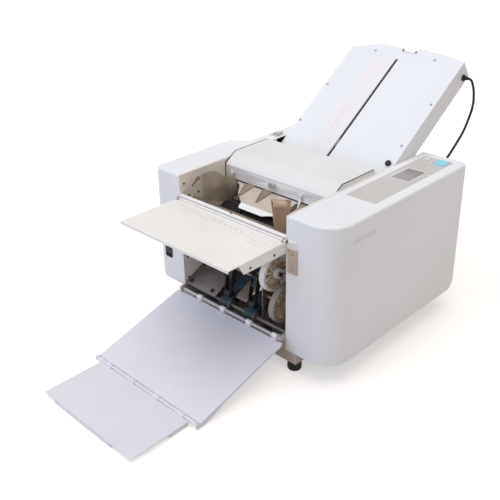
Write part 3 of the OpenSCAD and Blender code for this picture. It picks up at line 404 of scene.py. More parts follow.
def stepped(places):
    """A straight-line rule through (y, x) places, for the side of a bent sheet."""
    def side(y):
        if y <= places[0][0]:
            return places[0][1]
        for (y0, x0), (y1, x1) in zip(places, places[1:]):
            if y <= y1:
                return x0 + (x1 - x0) * (y - y0) / (y1 - y0)
        return places[-1][1]
    return side


def block(x0, x1, y0, y1, z0, z1):
    return prism([(x0, y0), (x1, y0), (x1, y1), (x0, y1)], z0, z1)


def rounded(x0, x1, y0, y1, radius, steps=6):
    """The outline of a rectangle with round corners."""
    corners = [(x1 - radius, y1 - radius, 0), (x0 + radius, y1 - radius, 90),
               (x0 + radius, y0 + radius, 180), (x1 - radius, y0 + radius, 270)]
    turns = [(cx, cy, round_point(radius, radians(start + 90 * k / steps)))
             for cx, cy, start in corners for k in range(steps + 1)]
    return [(cx + x, cy + y) for cx, cy, (x, y) in turns]


def lathe(profile, steps=48):
    """A closed profile of (radius, height) turned round +Z; points on the axis close it."""
    shape = bmesh.new()
    rings = [circle(shape, radius, z, steps) if radius > 1e-6 else [shape.verts.new((0, 0, z))]
             for radius, z in profile]
    pairs = list(zip(rings, rings[1:]))
    if len(rings[0]) > 1 and len(rings[-1]) > 1:
        pairs.append((rings[-1], rings[0]))
    for a, b in pairs:
        band(shape, a, b)
    return outward(shape)


def joined(*shapes):
    """Several shapes as one."""
    whole = bmesh.new()
    for shape in shapes:
        passing = bpy.data.meshes.new("passing")
        shape.to_mesh(passing)
        shape.free()
        whole.from_mesh(passing)
        bpy.data.meshes.remove(passing)
    return whole


def placed(shape, matrix):
    shape.transform(matrix)
    return shape


def across(profile, steps, x, y, z):
    """A profile of (radius, distance) turned round a line that starts at (x, y, z) and runs along x."""
    return placed(lathe(profile, steps), facing((x, y, z), (1, 0, 0)))


def upright(outline, x0, x1):
    """A (y, z) outline as a plate that stands from x0 to x1."""
    return placed(prism(outline, x0, x1), SIDE_VIEW)


# ---------------------------------------------------------------- Geometry Nodes

def new_tree(name, **inputs):
    """A Geometry Nodes tree with named inputs, and the outputs of its input node."""
    tree = bpy.data.node_groups.new(name, "GeometryNodeTree")
    tree.interface.new_socket("Geometry", in_out="OUTPUT", socket_type="NodeSocketGeometry")
    for label, kind in inputs.items():
        tree.interface.new_socket(label, in_out="INPUT", socket_type="NodeSocket" + kind)
    return tree, add(tree, "NodeGroupInput").outputs


def repeat(tree, given, points, **stance):
    """Ends a tree: the Unit on each point, made real and given its Finish."""
    look = add(tree, "GeometryNodeObjectInfo", {"Object": given["Unit"]})
    spread = add(tree, "GeometryNodeInstanceOnPoints", {
        "Points": points, "Instance": look.outputs["Geometry"], **stance})
    real = add(tree, "GeometryNodeRealizeInstances", {"Geometry": spread.outputs["Instances"]})
    dress = add(tree, "GeometryNodeSetMaterial", {"Geometry": real.outputs[0], "Material": given["Finish"]})
    add(tree, "NodeGroupOutput", {"Geometry": dress.outputs["Geometry"]})
    return tree


def heads_tree():
    """A head on each of the host's points, standing along the point's aim."""
    tree, given = new_tree("fasteners", Spots="Geometry", Unit="Object", Size="Float", Finish="Material")
    aim = add(tree, "GeometryNodeInputNamedAttribute", {"Name": "aim"}, data_type="FLOAT_VECTOR")
    stand = add(tree, "FunctionNodeAlignRotationToVector", {"Vector": aim.outputs["Attribute"]}, axis="Z")
    return repeat(tree, given, given["Spots"], Rotation=stand.outputs["Rotation"], Scale=given["Size"])


def row_tree():
    """A row of one unit: Count of them, Step apart, every Nth one stretched by Long along X."""
    tree, given = new_tree("row", Unit="Object", Count="Int", Step="Vector", Nth="Int", Long="Float",
                           Finish="Material")
    line = add(tree, "GeometryNodeMeshLine", {"Count": given["Count"], "Offset": given["Step"]}, mode="OFFSET")
    index = add(tree, "GeometryNodeInputIndex").outputs["Index"]
    rest = add(tree, "ShaderNodeMath", {0: index, 1: given["Nth"]}, operation="MODULO")
    first = add(tree, "ShaderNodeMath", {0: rest.outputs[0], 1: 0.5}, operation="LESS_THAN")
    size = add(tree, "ShaderNodeMapRange", {"Value": first.outputs[0], "To Min": 1.0, "To Max": given["Long"]})
    scale = add(tree, "ShaderNodeCombineXYZ", {"X": size.outputs["Result"], "Y": 1.0, "Z": 1.0})
    return repeat(tree, given, line.outputs["Mesh"], Scale=scale.outputs["Vector"])


def ring_tree():
    """Count units round +Z, each turned with its place."""
    tree, given = new_tree("ring", Unit="Object", Count="Int", Finish="Material")
    line = add(tree, "GeometryNodeMeshLine", {"Count": given["Count"], "Offset": (0, 0, 0)}, mode="OFFSET")
    index = add(tree, "GeometryNodeInputIndex").outputs["Index"]
    share = add(tree, "ShaderNodeMath", {0: index, 1: given["Count"]}, operation="DIVIDE")
    angle = add(tree, "ShaderNodeMath", {0: share.outputs[0], 1: 2 * pi}, operation="MULTIPLY")
    turn = add(tree, "ShaderNodeCombineXYZ", {"Z": angle.outputs[0]})
    return repeat(tree, given, line.outputs["Mesh"], Rotation=turn.outputs["Vector"])


TREES = {}


def grown(name, kind, unit, slot, host=None, **inputs):
    """The plain mesh that a tree makes by repeating a unit, as a bmesh."""
    if kind not in TREES:
        TREES[kind] = kind()
    helper = new_object(name + "_unit", unit)
    obj = bpy.data.objects.new(name, host or bpy.data.meshes.new(name))
    bpy.context.scene.collection.objects.link(obj)
    growth = obj.modifiers.new("growth", "NODES")
    growth.node_group = TREES[kind]
    inputs.update(Unit=helper, Finish=FINISHES[slot])
    for item in TREES[kind].interface.items_tree:
        if item.in_out == "INPUT" and item.name in inputs:
            growth[item.identifier] = inputs[item.name]
    keep_result(obj)
    shape = bmesh.new()
    shape.from_mesh(obj.data)
    bpy.data.objects.remove(obj)
    bpy.data.objects.remove(helper)
    return shape


def row(name, unit, count, step, slot, place, body=ROOT, nth=1000, long=1.0):
    """A row of units, made in millimetres by the row tree, then put in place."""
    shape = grown(name, row_tree, unit, slot, Count=count, Step=step, Nth=nth, Long=long)
    return piece(name, shape, slot, body, place)


def ring(name, unit, count, slot, place, body):
    """Units round an axis, made in millimetres by the ring tree, then put in place."""
    return piece(name, grown(name, ring_tree, unit, slot, Count=count), slot, body, place)


def screw_shape():
    """A pan head with a cross recess, 1 in radius, standing on z 0."""
    shape = bmesh.new()
    steps = 20
    rings = [circle(shape, r, z, steps) for r, z in ((1.0, -0.05), (1.0, 0.14), (0.9, 0.3), (0.66, 0.4))]
    for a, b in zip(rings, rings[1:]):
        band(shape, a, b)
    shape.faces.new(rings[0][::-1])
    arm, half = 0.5, 0.1
    cross = [(arm, -half), (arm, half), (half, half), (half, arm), (-half, arm), (-half, half), (-arm, half),
             (-arm, -half), (-half, -half), (-half, -arm), (half, -arm), (half, -half)]
    rim = [shape.verts.new((x, y, 0.42)) for x, y in cross]
    pit = [shape.verts.new((x * 0.8, y * 0.8, 0.16)) for x, y in cross]
    edges = [shape.edges.new((rim[k], rim[(k + 1) % 12])) for k in range(12)]
    outer = [shape.edges.get((rings[-1][k], rings[-1][(k + 1) % steps])) for k in range(steps)]
    bmesh.ops.triangle_fill(shape, use_beauty=True, edges=edges + outer)
    band(shape, rim, pit)
    shape.faces.new(pit)
    return outward(shape)


def screws(name, spots, diameter, slot, body=ROOT):
    """Pan head screws; spots are (point, direction) in the shared frame."""
    host = bpy.data.meshes.new(name)
    host.from_pydata([tuple(spot) for spot, _ in spots], [], [])
    aim = host.attributes.new("aim", "FLOAT_VECTOR", "POINT")
    aim.data.foreach_set("vector", [c for _, direction in spots for c in Vector(direction).normalized()])
    shape = grown(name, heads_tree, screw_shape(), slot, host, Size=diameter / 2)
    return piece(name, shape, slot, body)


# ---------------------------------------------------------------- operators

class FOLDER_OT_stage(Operator):
    """Camera at the photograph's place, soft studio light and a pale floor"""
    bl_idname = "folder.stage"
    bl_label = "Stage"

    def execute(self, context):
        scene = context.scene
        scene.view_settings.view_transform = "Standard"
        data = bpy.data.cameras.new("photo_view")
        data.lens = CAMERA_LENS
        data.sensor_width = 36
        data.shift_x, data.shift_y = CAMERA_SHIFT
        data.clip_start, data.clip_end = 0.05, 60
        a, e, r = (radians(angle) for angle in CAMERA_TURN)
        back = Vector((sin(a) * cos(e), -cos(a) * cos(e), sin(e)))
        right = Vector((cos(a), sin(a), 0))
        up = back.cross(right)
        right, up = cos(r) * right + sin(r) * up, cos(r) * up - sin(r) * right
        camera = bpy.data.objects.new("photo_view", data)
        camera.matrix_world = Matrix.Translation(at(*CAMERA_AT)) @ Matrix(
            (right, up, back)).transposed().to_4x4()
        scene.collection.objects.link(camera)
        scene.camera = camera
        self.light("overhead", (-0.12, -0.06, 1.0), 60, 1.32, (1.0, 0.99, 0.96))
        self.light("front_left", (-0.46, -0.76, 0.46), 50, 0.95, (0.52, 0.65, 1.0))
        self.light("right", (0.60, -0.32, 0.74), 50, 0.42, (1.0, 0.93, 0.86))
        self.sky(scene)
        self.floor()
        return {"FINISHED"}

    def light(self, name, from_side, spread, strength, colour):
        """A soft, even light that comes from one side, so the floor is lit alike everywhere."""
        lamp = bpy.data.lights.new(name, "SUN")
        lamp.angle = radians(spread)
        lamp.energy = strength
        lamp.color = colour
        obj = bpy.data.objects.new(name, lamp)
        obj.matrix_world = Vector(from_side).to_track_quat("Z", "Y").to_matrix().to_4x4()
        bpy.context.scene.collection.objects.link(obj)

    def seen_white(self, tree):
        """1 for rays from the camera and through gloss or glass, which see a plain white studio."""
        path = add(tree, "ShaderNodeLightPath").outputs
        seen = path["Is Camera Ray"]
        for kind in ("Is Glossy Ray", "Is Transmission Ray"):
            seen = add(tree, "ShaderNodeMath", {0: seen, 1: path[kind]}, operation="MAXIMUM").outputs[0]
        return seen

    def sky(self, scene):
        world = bpy.data.worlds.new("studio")
        world.use_nodes = True
        tree = world.node_tree
        tree.nodes.clear()
        room = add(tree, "ShaderNodeBackground", {"Color": (1.0, 0.965, 0.94, 1), "Strength": 0.45})
        white = add(tree, "ShaderNodeBackground", {"Color": (1, 1, 1, 1), "Strength": 1.0})
        mix = add(tree, "ShaderNodeMixShader", {0: self.seen_white(tree), 1: room.outputs[0],
                                                2: white.outputs[0]})
        add(tree, "ShaderNodeOutputWorld", {"Surface": mix.outputs[0]})
        scene.world = world

    def floor(self):
        made = bpy.data.materials.new("studio_floor")
        made.use_nodes = True
        tree = made.node_tree
        tree.nodes.clear()
        matt = add(tree, "ShaderNodeBsdfDiffuse", {"Color": (0.67, 0.635, 0.61, 1)})
        lift = add(tree, "ShaderNodeMath", {0: self.seen_white(tree), 1: 0.5}, operation="MULTIPLY")
        glow = add(tree, "ShaderNodeEmission", {"Strength": lift.outputs[0]})
        total = add(tree, "ShaderNodeAddShader", {0: matt.outputs[0], 1: glow.outputs[0]})
        add(tree, "ShaderNodeOutputMaterial", {"Surface": total.outputs[0]})
        shape = bmesh.new()
        bmesh.ops.create_grid(shape, x_segments=1, y_segments=1, size=14)
        obj = new_object("studio_floor", shape)
        obj.data.materials.append(made)


def lead_points():
    """The lead's route in millimetres, as in the CAD part."""
    slope = radians(PLATE_DEG)
    s, n = 302, -33
    y = PLATE_Y + s * cos(slope) - n * sin(slope)
    z = PLATE_Z + s * sin(slope) + n * cos(slope)
    return [(166.5, y, z), (183, y - 1, z), (189, 655, 522), (195, 652, 515), (203, 646, 500), (209, 639, 480),
            (211, 634, 469), (212, 629, 457), (213, 614, 434), (214, 595, 412), (214, 573, 393),
            (214, 550, 376), (214, 529, 362), (214, 513, 355), (214, 498, 354)]


class FOLDER_OT_lead(Operator):
    """The stop motor's lead, with its grommet and its strain relief"""
    bl_idname = "folder.lead"
    bl_label = "Lead"

    def execute(self, context):
        sizes = context.scene.folder_sizes
        route = lead_points()
        points = [at(*p) for p in route]
        dense = []
        padded = [points[0] * 2 - points[1]] + points + [points[-1] * 2 - points[-2]]
        for i in range(1, len(padded) - 2):
            p0, p1, p2, p3 = padded[i - 1:i + 3]
            for k in range(3):
                t = k / 3
                dense.append(0.5 * (2 * p1 + (p2 - p0) * t + (2 * p0 - 5 * p1 + 4 * p2 - p3) * t * t
                                    + (3 * p1 - p0 - 3 * p2 + p3) * t ** 3))
        dense.append(points[-1])
        curve = bpy.data.curves.new("stop_motor_lead", "CURVE")
        curve.dimensions = "3D"
        curve.bevel_depth = sizes.lead_diameter / 2
        curve.bevel_resolution = 4
        curve.use_fill_caps = True
        line = curve.splines.new("POLY")
        line.points.add(len(dense) - 1)
        for spot, point in zip(line.points, dense):
            spot.co = (*point, 1)
        curve.materials.append(FINISHES["black_rubber"])
        lead = bpy.data.objects.new("stop_motor_lead", curve)
        context.scene.collection.objects.link(lead)
        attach(lead, BODY_OF["lead"])
        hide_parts("lead")
        start, end = points[0], points[-1]
        grommet = lathe([(3.02, -3), (6.0, -3), (6.0, 1.2), (8.0, 1.4), (8.0, 4.2), (7.2, 5.2), (5.2, 5.6),
                         (4.4, 12), (3.6, 15.5), (3.02, 15.6)], 32)
        relief = lathe([(3.02, -5), (5.9, -5), (5.9, 1.0), (8.4, 1.2), (8.4, 3.4), (7.4, 4.4), (5.6, 4.8),
                        (4.6, 14), (3.7, 24), (3.02, 24.2)], 32)
        placed(grommet, facing((164.5, *route[0][1:]), (1, 0, 0)))
        placed(relief, facing((214, 497, 354), (0, 1, 0.03)))
        boots = piece("lead_boots", joined(grommet, relief), "black_rubber", place=PLACE,
                      replaces=("lead_fittings",))
        return {"FINISHED"}


class FOLDER_OT_finishes(Operator):
    """Finishes of all CAD nodes, one for each material slot"""
    bl_idname = "folder.finishes"
    bl_label = "Finishes"

    def execute(self, context):
        make_finishes(context.scene.folder_colours)
        for node, obj in frame["nodes"].items():
            for slot in obj.material_slots:
                slot.material = FINISHES[SLOT_OF[node]]
        return {"FINISHED"}


def tall(edge):
    """An edge of one of a housing's tall outer walls."""
    return any(max(v.co.z for v in f.verts) - min(v.co.z for v in f.verts) > 0.05 for f in edge.link_faces)


class FOLDER_OT_housings(Operator):
    """Left and right moulded housings with soft upper edges, and the generic badge plate"""
    bl_idname = "folder.housings"
    bl_label = "Housings"

    def execute(self, context):
        sizes = context.scene.folder_sizes
        top = HOUSE_TOP * MM

        def rim(edge):
            return all(abs(v.co.z - top) < 1e-5 for v in edge.verts) and tall(edge)

        for node in ("house_right", "house_left"):
            eased(node, 0.0006, passes=[(rim, sizes.housing_edge, 4)], form=self.tuck)
        badge = prism(rounded(59, 134, 330, 340, 1.5), 287.9, 288.15)
        ease(badge, 0.1)
        piece("badge_place", badge, "key_pale", place=PLACE @ SIDE_VIEW)
        return {"FINISHED"}

    def tuck(self, shape):
        """Rounds a housing's lower corners, at the rear of both and at the front of the left one"""
        low = [min(v.co[i] for v in shape.verts) for i in range(3)]
        high = [max(v.co[i] for v in shape.verts) for i in range(3)]
        radius = 0.024
        for k in range(1, 9):
            level = low[2] + radius * (1 - sin(k * pi / 17))
            bmesh.ops.bisect_plane(shape, geom=shape.verts[:] + shape.edges[:] + shape.faces[:], dist=1e-6,
                                   plane_co=(0, 0, level), plane_no=(0, 0, 1))
        for v in shape.verts:
            deep = min(0.97, (low[2] + radius - v.co.z) / radius)
            if deep > 0:
                push = radius * (1 - sqrt(1 - deep * deep))
                v.co.y -= push * max(0, 1 - (high[1] - v.co.y) / (2.4 * radius))
                if low[0] < 0 and high[0] < MIDDLE_X:
                    v.co.y += push * max(0, 1 - (v.co.y - low[1]) / (2.4 * radius))


class FOLDER_OT_cover(Operator):
    """Top cover with a soft folded front, black strips at its sides painted as the shade in its gaps, blades,
    thumb screw and apron catches
    """
    bl_idname = "folder.cover"
    bl_label = "Cover"

    def execute(self, context):
        sizes = context.scene.folder_sizes
        fold_a, fold_b = at(0, 150, 366), at(0, 184, 386.5)
        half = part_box("top_cover")[1].x - MIDDLE_X

        def folds(edge):
            return all(min((Vector((0, v.co.y - f.y, v.co.z - f.z))).length for f in (fold_a, fold_b)) < 1e-5
                       for v in edge.verts)

        def sides(edge):
            outer = all(abs(abs(v.co.x - MIDDLE_X) - half) < 1e-5 for v in edge.verts)
            return outer and edge.calc_length() > 0.02

        shape = solid_of("top_cover")
        ease(shape, 0.006, 5, folds, 15)
        ease(shape, sizes.cover_edge, 3, sides)
        ease(shape, 0.0005)
        piece("top_cover_finished", shape, "cover_white", BODY_OF["top_cover"], replaces=("top_cover",))
        self.fingers()
        eased("pressure_knob", 0.0004)
        parts = []
        for x in CATCHES_X:
            petals = [round_point(5.2 + 0.9 * cos(6 * a), a) for a in (2 * pi * k / 48 for k in range(48))]
            knob = prism(petals, 2.2, 6.0)
            ease(knob, 0.5)
            shank = lathe([(0, 0), (3.4, 0), (3.4, 2.4), (0, 2.4)], 24)
            parts += [placed(part, facing((x, 150, 347), (0, -1, 0))) for part in (knob, shank)]
        # a short stub on the left, and on the right a leaf that reaches down to the ramp
        stub = placed(prism(rounded(-140.5, -133.5, 333, 345, 1.4), 0, 2.2),
                      Matrix.Translation((0, 148.4, 0)) @ Matrix.Rotation(radians(90), 4, "X"))
        leaf = bent_sheet([(131, 306), (147.6, 345)], 1.2, lambda y: 74.2, lambda y: 79.8)
        for part in (stub, leaf):
            ease(part, 0.3)
        piece("apron_catches", joined(*parts, stub, leaf), "wheel_plastic", BODY_OF["apron_posts"], PLACE,
              replaces=("apron_posts",))
        # black strips along both sides of the cover, in its gaps to the housings, stand in for the shadow
        # there: painted shade
        low, high = half / MM - 1.5, half / MM + 0.1
        seam = [(149.6, 331), (149.6, 366.2), (183.9, 387.0), (300, 387.0)]
        shade_strips = [bent_sheet(seam, 0.9, lambda y, a=a: a, lambda y, b=b: b)
                 for a, b in ((-high, -low), (low, high))]
        piece("cover_seals", joined(*shade_strips), "black_rubber", BODY_OF["top_cover"], PLACE)
        return {"FINISHED"}

    def fingers(self):
        """Two tapered blades with turned-up edges over the ramp, on a plate behind the apron"""
        parts, lips = [block(-70, -10, 152.6, 154.4, 332, 358)], []
        for edge, notch in ((-64, -63), (-9, -16)):
            def side(y, edge=edge):
                return edge - 1.5 - 23.5 * min(1, (y - 92.6) / 47.4)

            def inner(y, side=side):
                return side(y) + 1.2

            line = [(92.6, 322.9), (121, 326.7), (140, 329.6), (146, 330.5), (152.8, 330.5)]
            up = [(y, z + 1.7) for y, z in line[:3]]
            parts += [bent_sheet(line, 0.8, side, lambda y, e=edge: e), bent_sheet(up, 1.8, side, inner),
                      bent_sheet(up, 1.8, lambda y, e=edge: e - 1.2, lambda y, e=edge: e),
                      block(notch - 7, notch + 6, 152.6, 154.4, 329.8, 334)]
            lips.append(block(notch - 0.9, notch + 3.9, 150.1, 152.3, 331.1, 340.9))
        body = BODY_OF["separator_fingers"]
        piece("separator_blades", joined(*parts), "brown_sheet", body, PLACE,
              replaces=("separator_fingers",), smooth=25)
        piece("apron_notch_lips", joined(*lips), "cover_white", body, PLACE)


class FOLDER_OT_fold_plate(Operator):
    """Upper fold plate: shell, scale, slot edges, screws, strap, locking knob and catch"""
    bl_idname = "folder.fold_plate"
    bl_label = "Upper fold plate"

    def execute(self, context):
        sizes = context.scene.folder_sizes
        into = IN_PLATE.inverted()

        def upper(edge):
            return all(abs((into @ v.co).z) < 0.01 for v in edge.verts) and any(
                abs((into.to_3x3().normalized() @ f.normal).z) < 0.5
                and max((into @ v.co).z for v in f.verts) - min((into @ v.co).z for v in f.verts) > 20
                for f in edge.link_faces)

        eased("plate_shell", 0.0005, passes=[(upper, sizes.plate_edge, 3)])
        eased("lock_knob", 0.0004)
        strip = prism(rounded(-84, -16.5, -48, 291, 1.0), 0.0, 0.12)
        piece("plate_scale_strip", strip, "label_pale", place=IN_PLATE)
        edges = joined(*[block(x, x + 1.1, -40, 296, 0.0, 0.25) for x in (-15.6, -9.5)])
        piece("plate_slot_edges", edges, "black_plastic", place=IN_PLATE)
        marks = sizes.scale_marks
        pitch = 330 / marks
        row("plate_scale_pink", block(-9, 0, -0.35, 0.35, 0.1, 0.17), marks, (0, pitch, 0), "ink_pink",
            IN_PLATE @ Matrix.Translation((-52, -42, 0)), nth=5, long=1.9)
        row("plate_scale_blue", block(0, 12, -0.3, 0.3, 0.1, 0.17), marks // 2, (0, pitch * 2, 0), "ink_blue",
            IN_PLATE @ Matrix.Translation((-46, -42 + pitch / 2, 0)), nth=4, long=1.5)
        row("plate_scale_dots", block(-1.2, 1.2, -0.9, 0.9, 0.1, 0.17), 20, (0, 16.5, 0), "ink_blue",
            IN_PLATE @ Matrix.Translation((-76, -38, 0)))
        spots = [(-156, 174), (-157, 43), (155, 177), (152, 43), (-89, 313), (89, 313)]
        along = IN_PLATE.to_3x3() @ Vector((0, 0, 1))
        screws("plate_screws", [(IN_PLATE @ Vector((x, s, 0)), along) for x, s in spots],
               sizes.screw_head, "screw_zinc")
        strap = prism(rounded(-15, 31, 325, 331, 2.5), 0, 1.6)
        ease(strap, 0.4)
        piece("plate_strap", strap, "bright_steel", place=IN_PLATE)
        screws("plate_strap_screws", [(IN_PLATE @ Vector((x, 328, 1.6)), along) for x in (-11, 27)],
               0.0056, "screw_black")
        catch = joined(block(-196, -174, 346, 374, HOUSE_TOP, HOUSE_TOP + 1.2),
                       block(-175.2, -174, 346, 374, HOUSE_TOP, HOUSE_TOP + 9),
                       prism(rounded(-194, -182, 350, 370, 3), HOUSE_TOP + 1.1, HOUSE_TOP + 2.4))
        ease(catch, 0.25)
        piece("plate_catch", catch, "bright_steel", place=PLACE)
        screws("plate_catch_screws", [(at(-188, y, HOUSE_TOP + 2.4), (0, 0, 1)) for y in (355, 365)],
               0.005, "screw_black")
        return {"FINISHED"}


class FOLDER_OT_controls(Operator):
    """Control panel, display, keys, power switch and mains socket"""
    bl_idname = "folder.controls"
    bl_label = "Controls"

    def execute(self, context):
        eased("display_bezel", 0.0003)
        for node in ("key_start", "key_stop", "key_mode"):
            low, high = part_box(node)
            middle = (low + high) / 2
            half_x, half_y = (high.x - low.x) / 2 / MM, (high.y - low.y) / 2 / MM
            outline = rounded(-half_x, half_x, -half_y, half_y, min(half_x, half_y) * 0.34)
            cap = prism(outline, 0, (high.z - low.z) / MM)
            ease(cap, 0.35, 3)
            piece(node + "_cap", cap, SLOT_OF[node], BODY_OF[node],
                  Matrix.Translation((middle.x, middle.y, low.z)) @ Matrix.Scale(MM, 4), replaces=(node,))
        eased("switch_body", 0.0004)
        eased("power_rocker", 0.0005)
        eased("mains_inlet", 0.0004)
        pins = joined(*[block(x - 0.8, x + 0.8, 484, 494, z - 2.2, z + 2.2)
                        for x, z in ((-193, 108.5), (-181, 108.5), (-187, 114))])
        ease(pins, 0.2)
        piece("mains_pins", pins, "bright_steel", place=PLACE)
        return {"FINISHED"}


class FOLDER_OT_feed_table(Operator):
    """Feed table with its marks, hinge, brackets, screws and clip, and the separator's ramp"""
    bl_idname = "folder.feed_table"
    bl_label = "Feed table"

    def execute(self, context):
        sizes = context.scene.folder_sizes
        eased("feed_table", sizes.sheet_edge, slot="table_white")
        eased("front_bar", 0.0008, slot="table_white")
        self.ramp()
        self.brackets()
        body = BODY_OF["feed_table"]
        tube = [(0.9, 0), (2.75, 0), (2.75, 62.6), (0.9, 62.6)]
        knuckles = [across(tube, 24, -157.5 + 63.1 * k, HINGE_Y, HINGE_Z) for k in range(5)]
        leaf = block(-157.5, 157.5, -12.6, -5.2, 318.6, 319.9)
        piece("table_hinge", joined(*knuckles, leaf), "table_white", body, PLACE)
        on_top = PLACE @ Matrix.Translation((0, 0, TABLE_Z))
        row("table_marks", block(-0.3, 0.3, -3, 0, -0.05, 0.06), 61, (5, 0, 0), "ink_grey",
            on_top @ Matrix.Translation((-150, -18, 0)), body)
        row("table_long_marks", block(-0.35, 0.35, -6.5, 0, -0.05, 0.06), 13, (25, 0, 0), "ink_pink",
            on_top @ Matrix.Translation((-150, -18, 0)), body)
        notes = ((-128, -31, 7, 14, 6), (-20, -30, 6, 17, 5), (84, -29, 5, 13, 7), (-120, -36, 6, 16, 9),
                 (-30, -25, 12, 9, 4), (40, -38, 7, 12, 6), (-146, -25, 9, 11, 5))
        for k, (x, y, count, step, width) in enumerate(notes):
            row("table_notes_%d" % k, block(0, width, -0.8, 0.8, -0.05, 0.06), count, (step, -0.5, 0),
                "ink_pink" if k % 3 != 1 else "ink_grey", on_top @ Matrix.Translation((x, y, 0)), body)
        for k in range(4):
            row("table_grid_%d" % k, block(0, 5, -0.5, 0.5, -0.05, 0.06), 5, (9, 0, 0),
                "ink_grey" if k % 2 else "ink_blue", on_top @ Matrix.Translation((104, -38 - 6 * k, 0)), body)
        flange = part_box("feed_table")[1].x
        spots = [(Vector((flange, *at(0, y, 303).yz)), (1, 0, 0)) for y in (-110, -40)]
        screws("table_screws", spots, 0.006, "screw_black", body)
        clip = joined(block(96, 124, -166, -134, 312.5, 314), block(96, 124, -135.5, -134, 312.5, 318.2),
                      block(104, 116, -171, -164, 306, 314))
        ease(clip, 0.4)
        piece("table_clip", clip, "black_plastic", body, PLACE)
        screws("bar_screws", [(at(0, 4, 329.9), (0, 0, 1))], 0.005, "screw_black")
        nut = [(0, 0), (2.4, 0), (3.4, 0.4), (3.4, 1.6), (2.6, 2.2), (0, 2.2)]
        piece("hinge_nut", across(nut, 24, 169, HINGE_Y, HINGE_Z), "screw_black", place=PLACE)
        return {"FINISHED"}

    def ramp(self):
        """The separator's ramp, narrower at its front lip, on two arms and a cross bar"""
        left = stepped([(57, -29), (62, -33), (76, -39), (105, -77), (134, -100), (146.5, -121)])
        right = stepped([(57, 41), (70, 63), (83, 70)])
        line = [(57, 317.2), (62, 318.8), (70, 320), (76, 320.4), (83, 321), (105, 323), (121, 325.6),
                (134, 327.6), (146.5, 329.6)]
        sheet = bent_sheet(line, 1.5, left, right)
        # a wing on the right, past the slot of the apron's leaf; with the band it is painted brown as shade
        band = bent_sheet([(140, 328.5), (146.5, 329.6)], 1.5, lambda y: 69.5, lambda y: 104)
        wing = bent_sheet([(97, 322.2), (121, 325.6), (141, 328.7)], 1.5, lambda y: 84, lambda y: 104)
        arms = [upright([(104, 320), (138, 326.2), (190, 324), (190, 314), (130, 316)], x, x + 2)
                for x in (-69, 66)]
        rod = across([(0, -163), (2.5, -163), (2.5, 163), (0, 163)], 24, 0, 182, 319)
        for part in (sheet, band, wing, *arms):
            ease(part, 0.3)
        made = piece("stack_ramp_finished", joined(sheet, band, wing, *arms, rod), SLOT_OF["stack_ramp"],
                     BODY_OF["stack_ramp"], PLACE, replaces=("stack_ramp",), smooth=30)
        # the ramp's right part, past x 83, is painted brown as shade
        two_tone(made, "brown_sheet", lambda c: c.x > at(83, 0, 0).x)
        two_tone(made, "bezel_white", lambda c: c.y < at(0, 75, 0).y)

    def brackets(self):
        """Hinge brackets: a steel strap with a pale fluted head on the right, a painted one on the left"""
        for side, slot in ((1, "bracket_steel"), (-1, "shell_white")):
            name = "right" if side > 0 else "left"
            strap = block(*sorted((side * 168.6, side * 194.5)), -3, 0, 250, 307)
            ease(strap, 0.8)
            lug = upright([(-8, 322), (-7, 319), (-4, 318), (0, 317), (0, 325), (-4, 326), (-7, 325)],
                          *sorted((side * 167.2, side * 169.2)))
            piece("hinge_strap_" + name, joined(strap, lug), slot, BODY_OF["table_brackets"], PLACE,
                  replaces=("table_brackets",))
        ribs = [block(169.6 + 5.4 * k, 173.4 + 5.4 * k, -4.4, 0, 306.5, 325) for k in range(4)]
        for rib in ribs:
            ease(rib, 1.2, 3)
        piece("hinge_head", joined(*ribs, block(169.2, 190, -2.6, 0, 306, 324.6)), "wheel_plastic",
              BODY_OF["table_brackets"], PLACE)
        screws("bracket_screws", [(at(183, -3, z), (0, -1, 0)) for z in (262, 296)], 0.0056, "screw_zinc")


class FOLDER_OT_guides(Operator):
    """Stainless side guides with the left one's lobe, their rail and the sloping feed deck"""
    bl_idname = "folder.guides"
    bl_label = "Side guides"

    def execute(self, context):
        # the left guide's brown guide steel is a painted reflection of the interior
        eased("side_guide_left", 0.0004)
        # the right guide gets a lighter tan copy of the guide steel as painted light, and its upper part a dark
        # copy as painted shade
        right = eased("side_guide_right", 0.0004, slot="guide_tan")
        two_tone(right, "guide_dark", lambda c: c.z > at(0, 0, 391.5).z - (c.y - at(0, 13, 0).y) * 0.375)
        lobe = [(18, 380), (20, 386.6), (28, 388.6), (42, 388), (58, 384.4), (68, 380), (77, 374),
                (85, 365), (86, 360)]
        lobe = upright(lobe, -109.5, -108.1)
        ease(lobe, 0.3)
        piece("guide_left_lobe", lobe, "guide_steel", BODY_OF["side_guide_left"], PLACE)
        eased("guide_rail", 0.0004)
        eased("feed_deck", 0.0003, slot="brown_sheet")
        return {"FINISHED"}


class FOLDER_OT_inner_walls(Operator):
    """Screws of the inner walls, the chute's bolts and the end bushes of the tray rod"""
    bl_idname = "folder.inner_walls"
    bl_label = "Inner walls"

    def execute(self, context):
        spots = [(14, 352), (58, 318), (14, 216), (14, 160), (120, 240), (40, 262), (170, 320),
                 (14, 104), (200, 200)]
        screws("wall_screws", [(at(side * 163, y, z), (-side, 0, 0)) for side in (-1, 1) for y, z in spots],
               0.0058, "screw_black")
        bolts = [(at(x, y, z), (0, -0.46, 0.89)) for y, z in ((12, 99.7), (60, 124.5)) for x in (-150, -78)]
        screws("chute_bolts", bolts, 0.011, "black_plastic")
        profile = [(4.1, 0), (8.5, 0), (8.5, 2.5), (7.2, 4), (4.1, 4)]
        bushes = [placed(lathe(profile, 32), facing((side * 157.2, ROD_Y, ROD_Z), (-side, 0, 0)))
                  for side in (-1, 1)]
        piece("rod_bushes", joined(*bushes), "bracket_steel", place=PLACE)
        return {"FINISHED"}


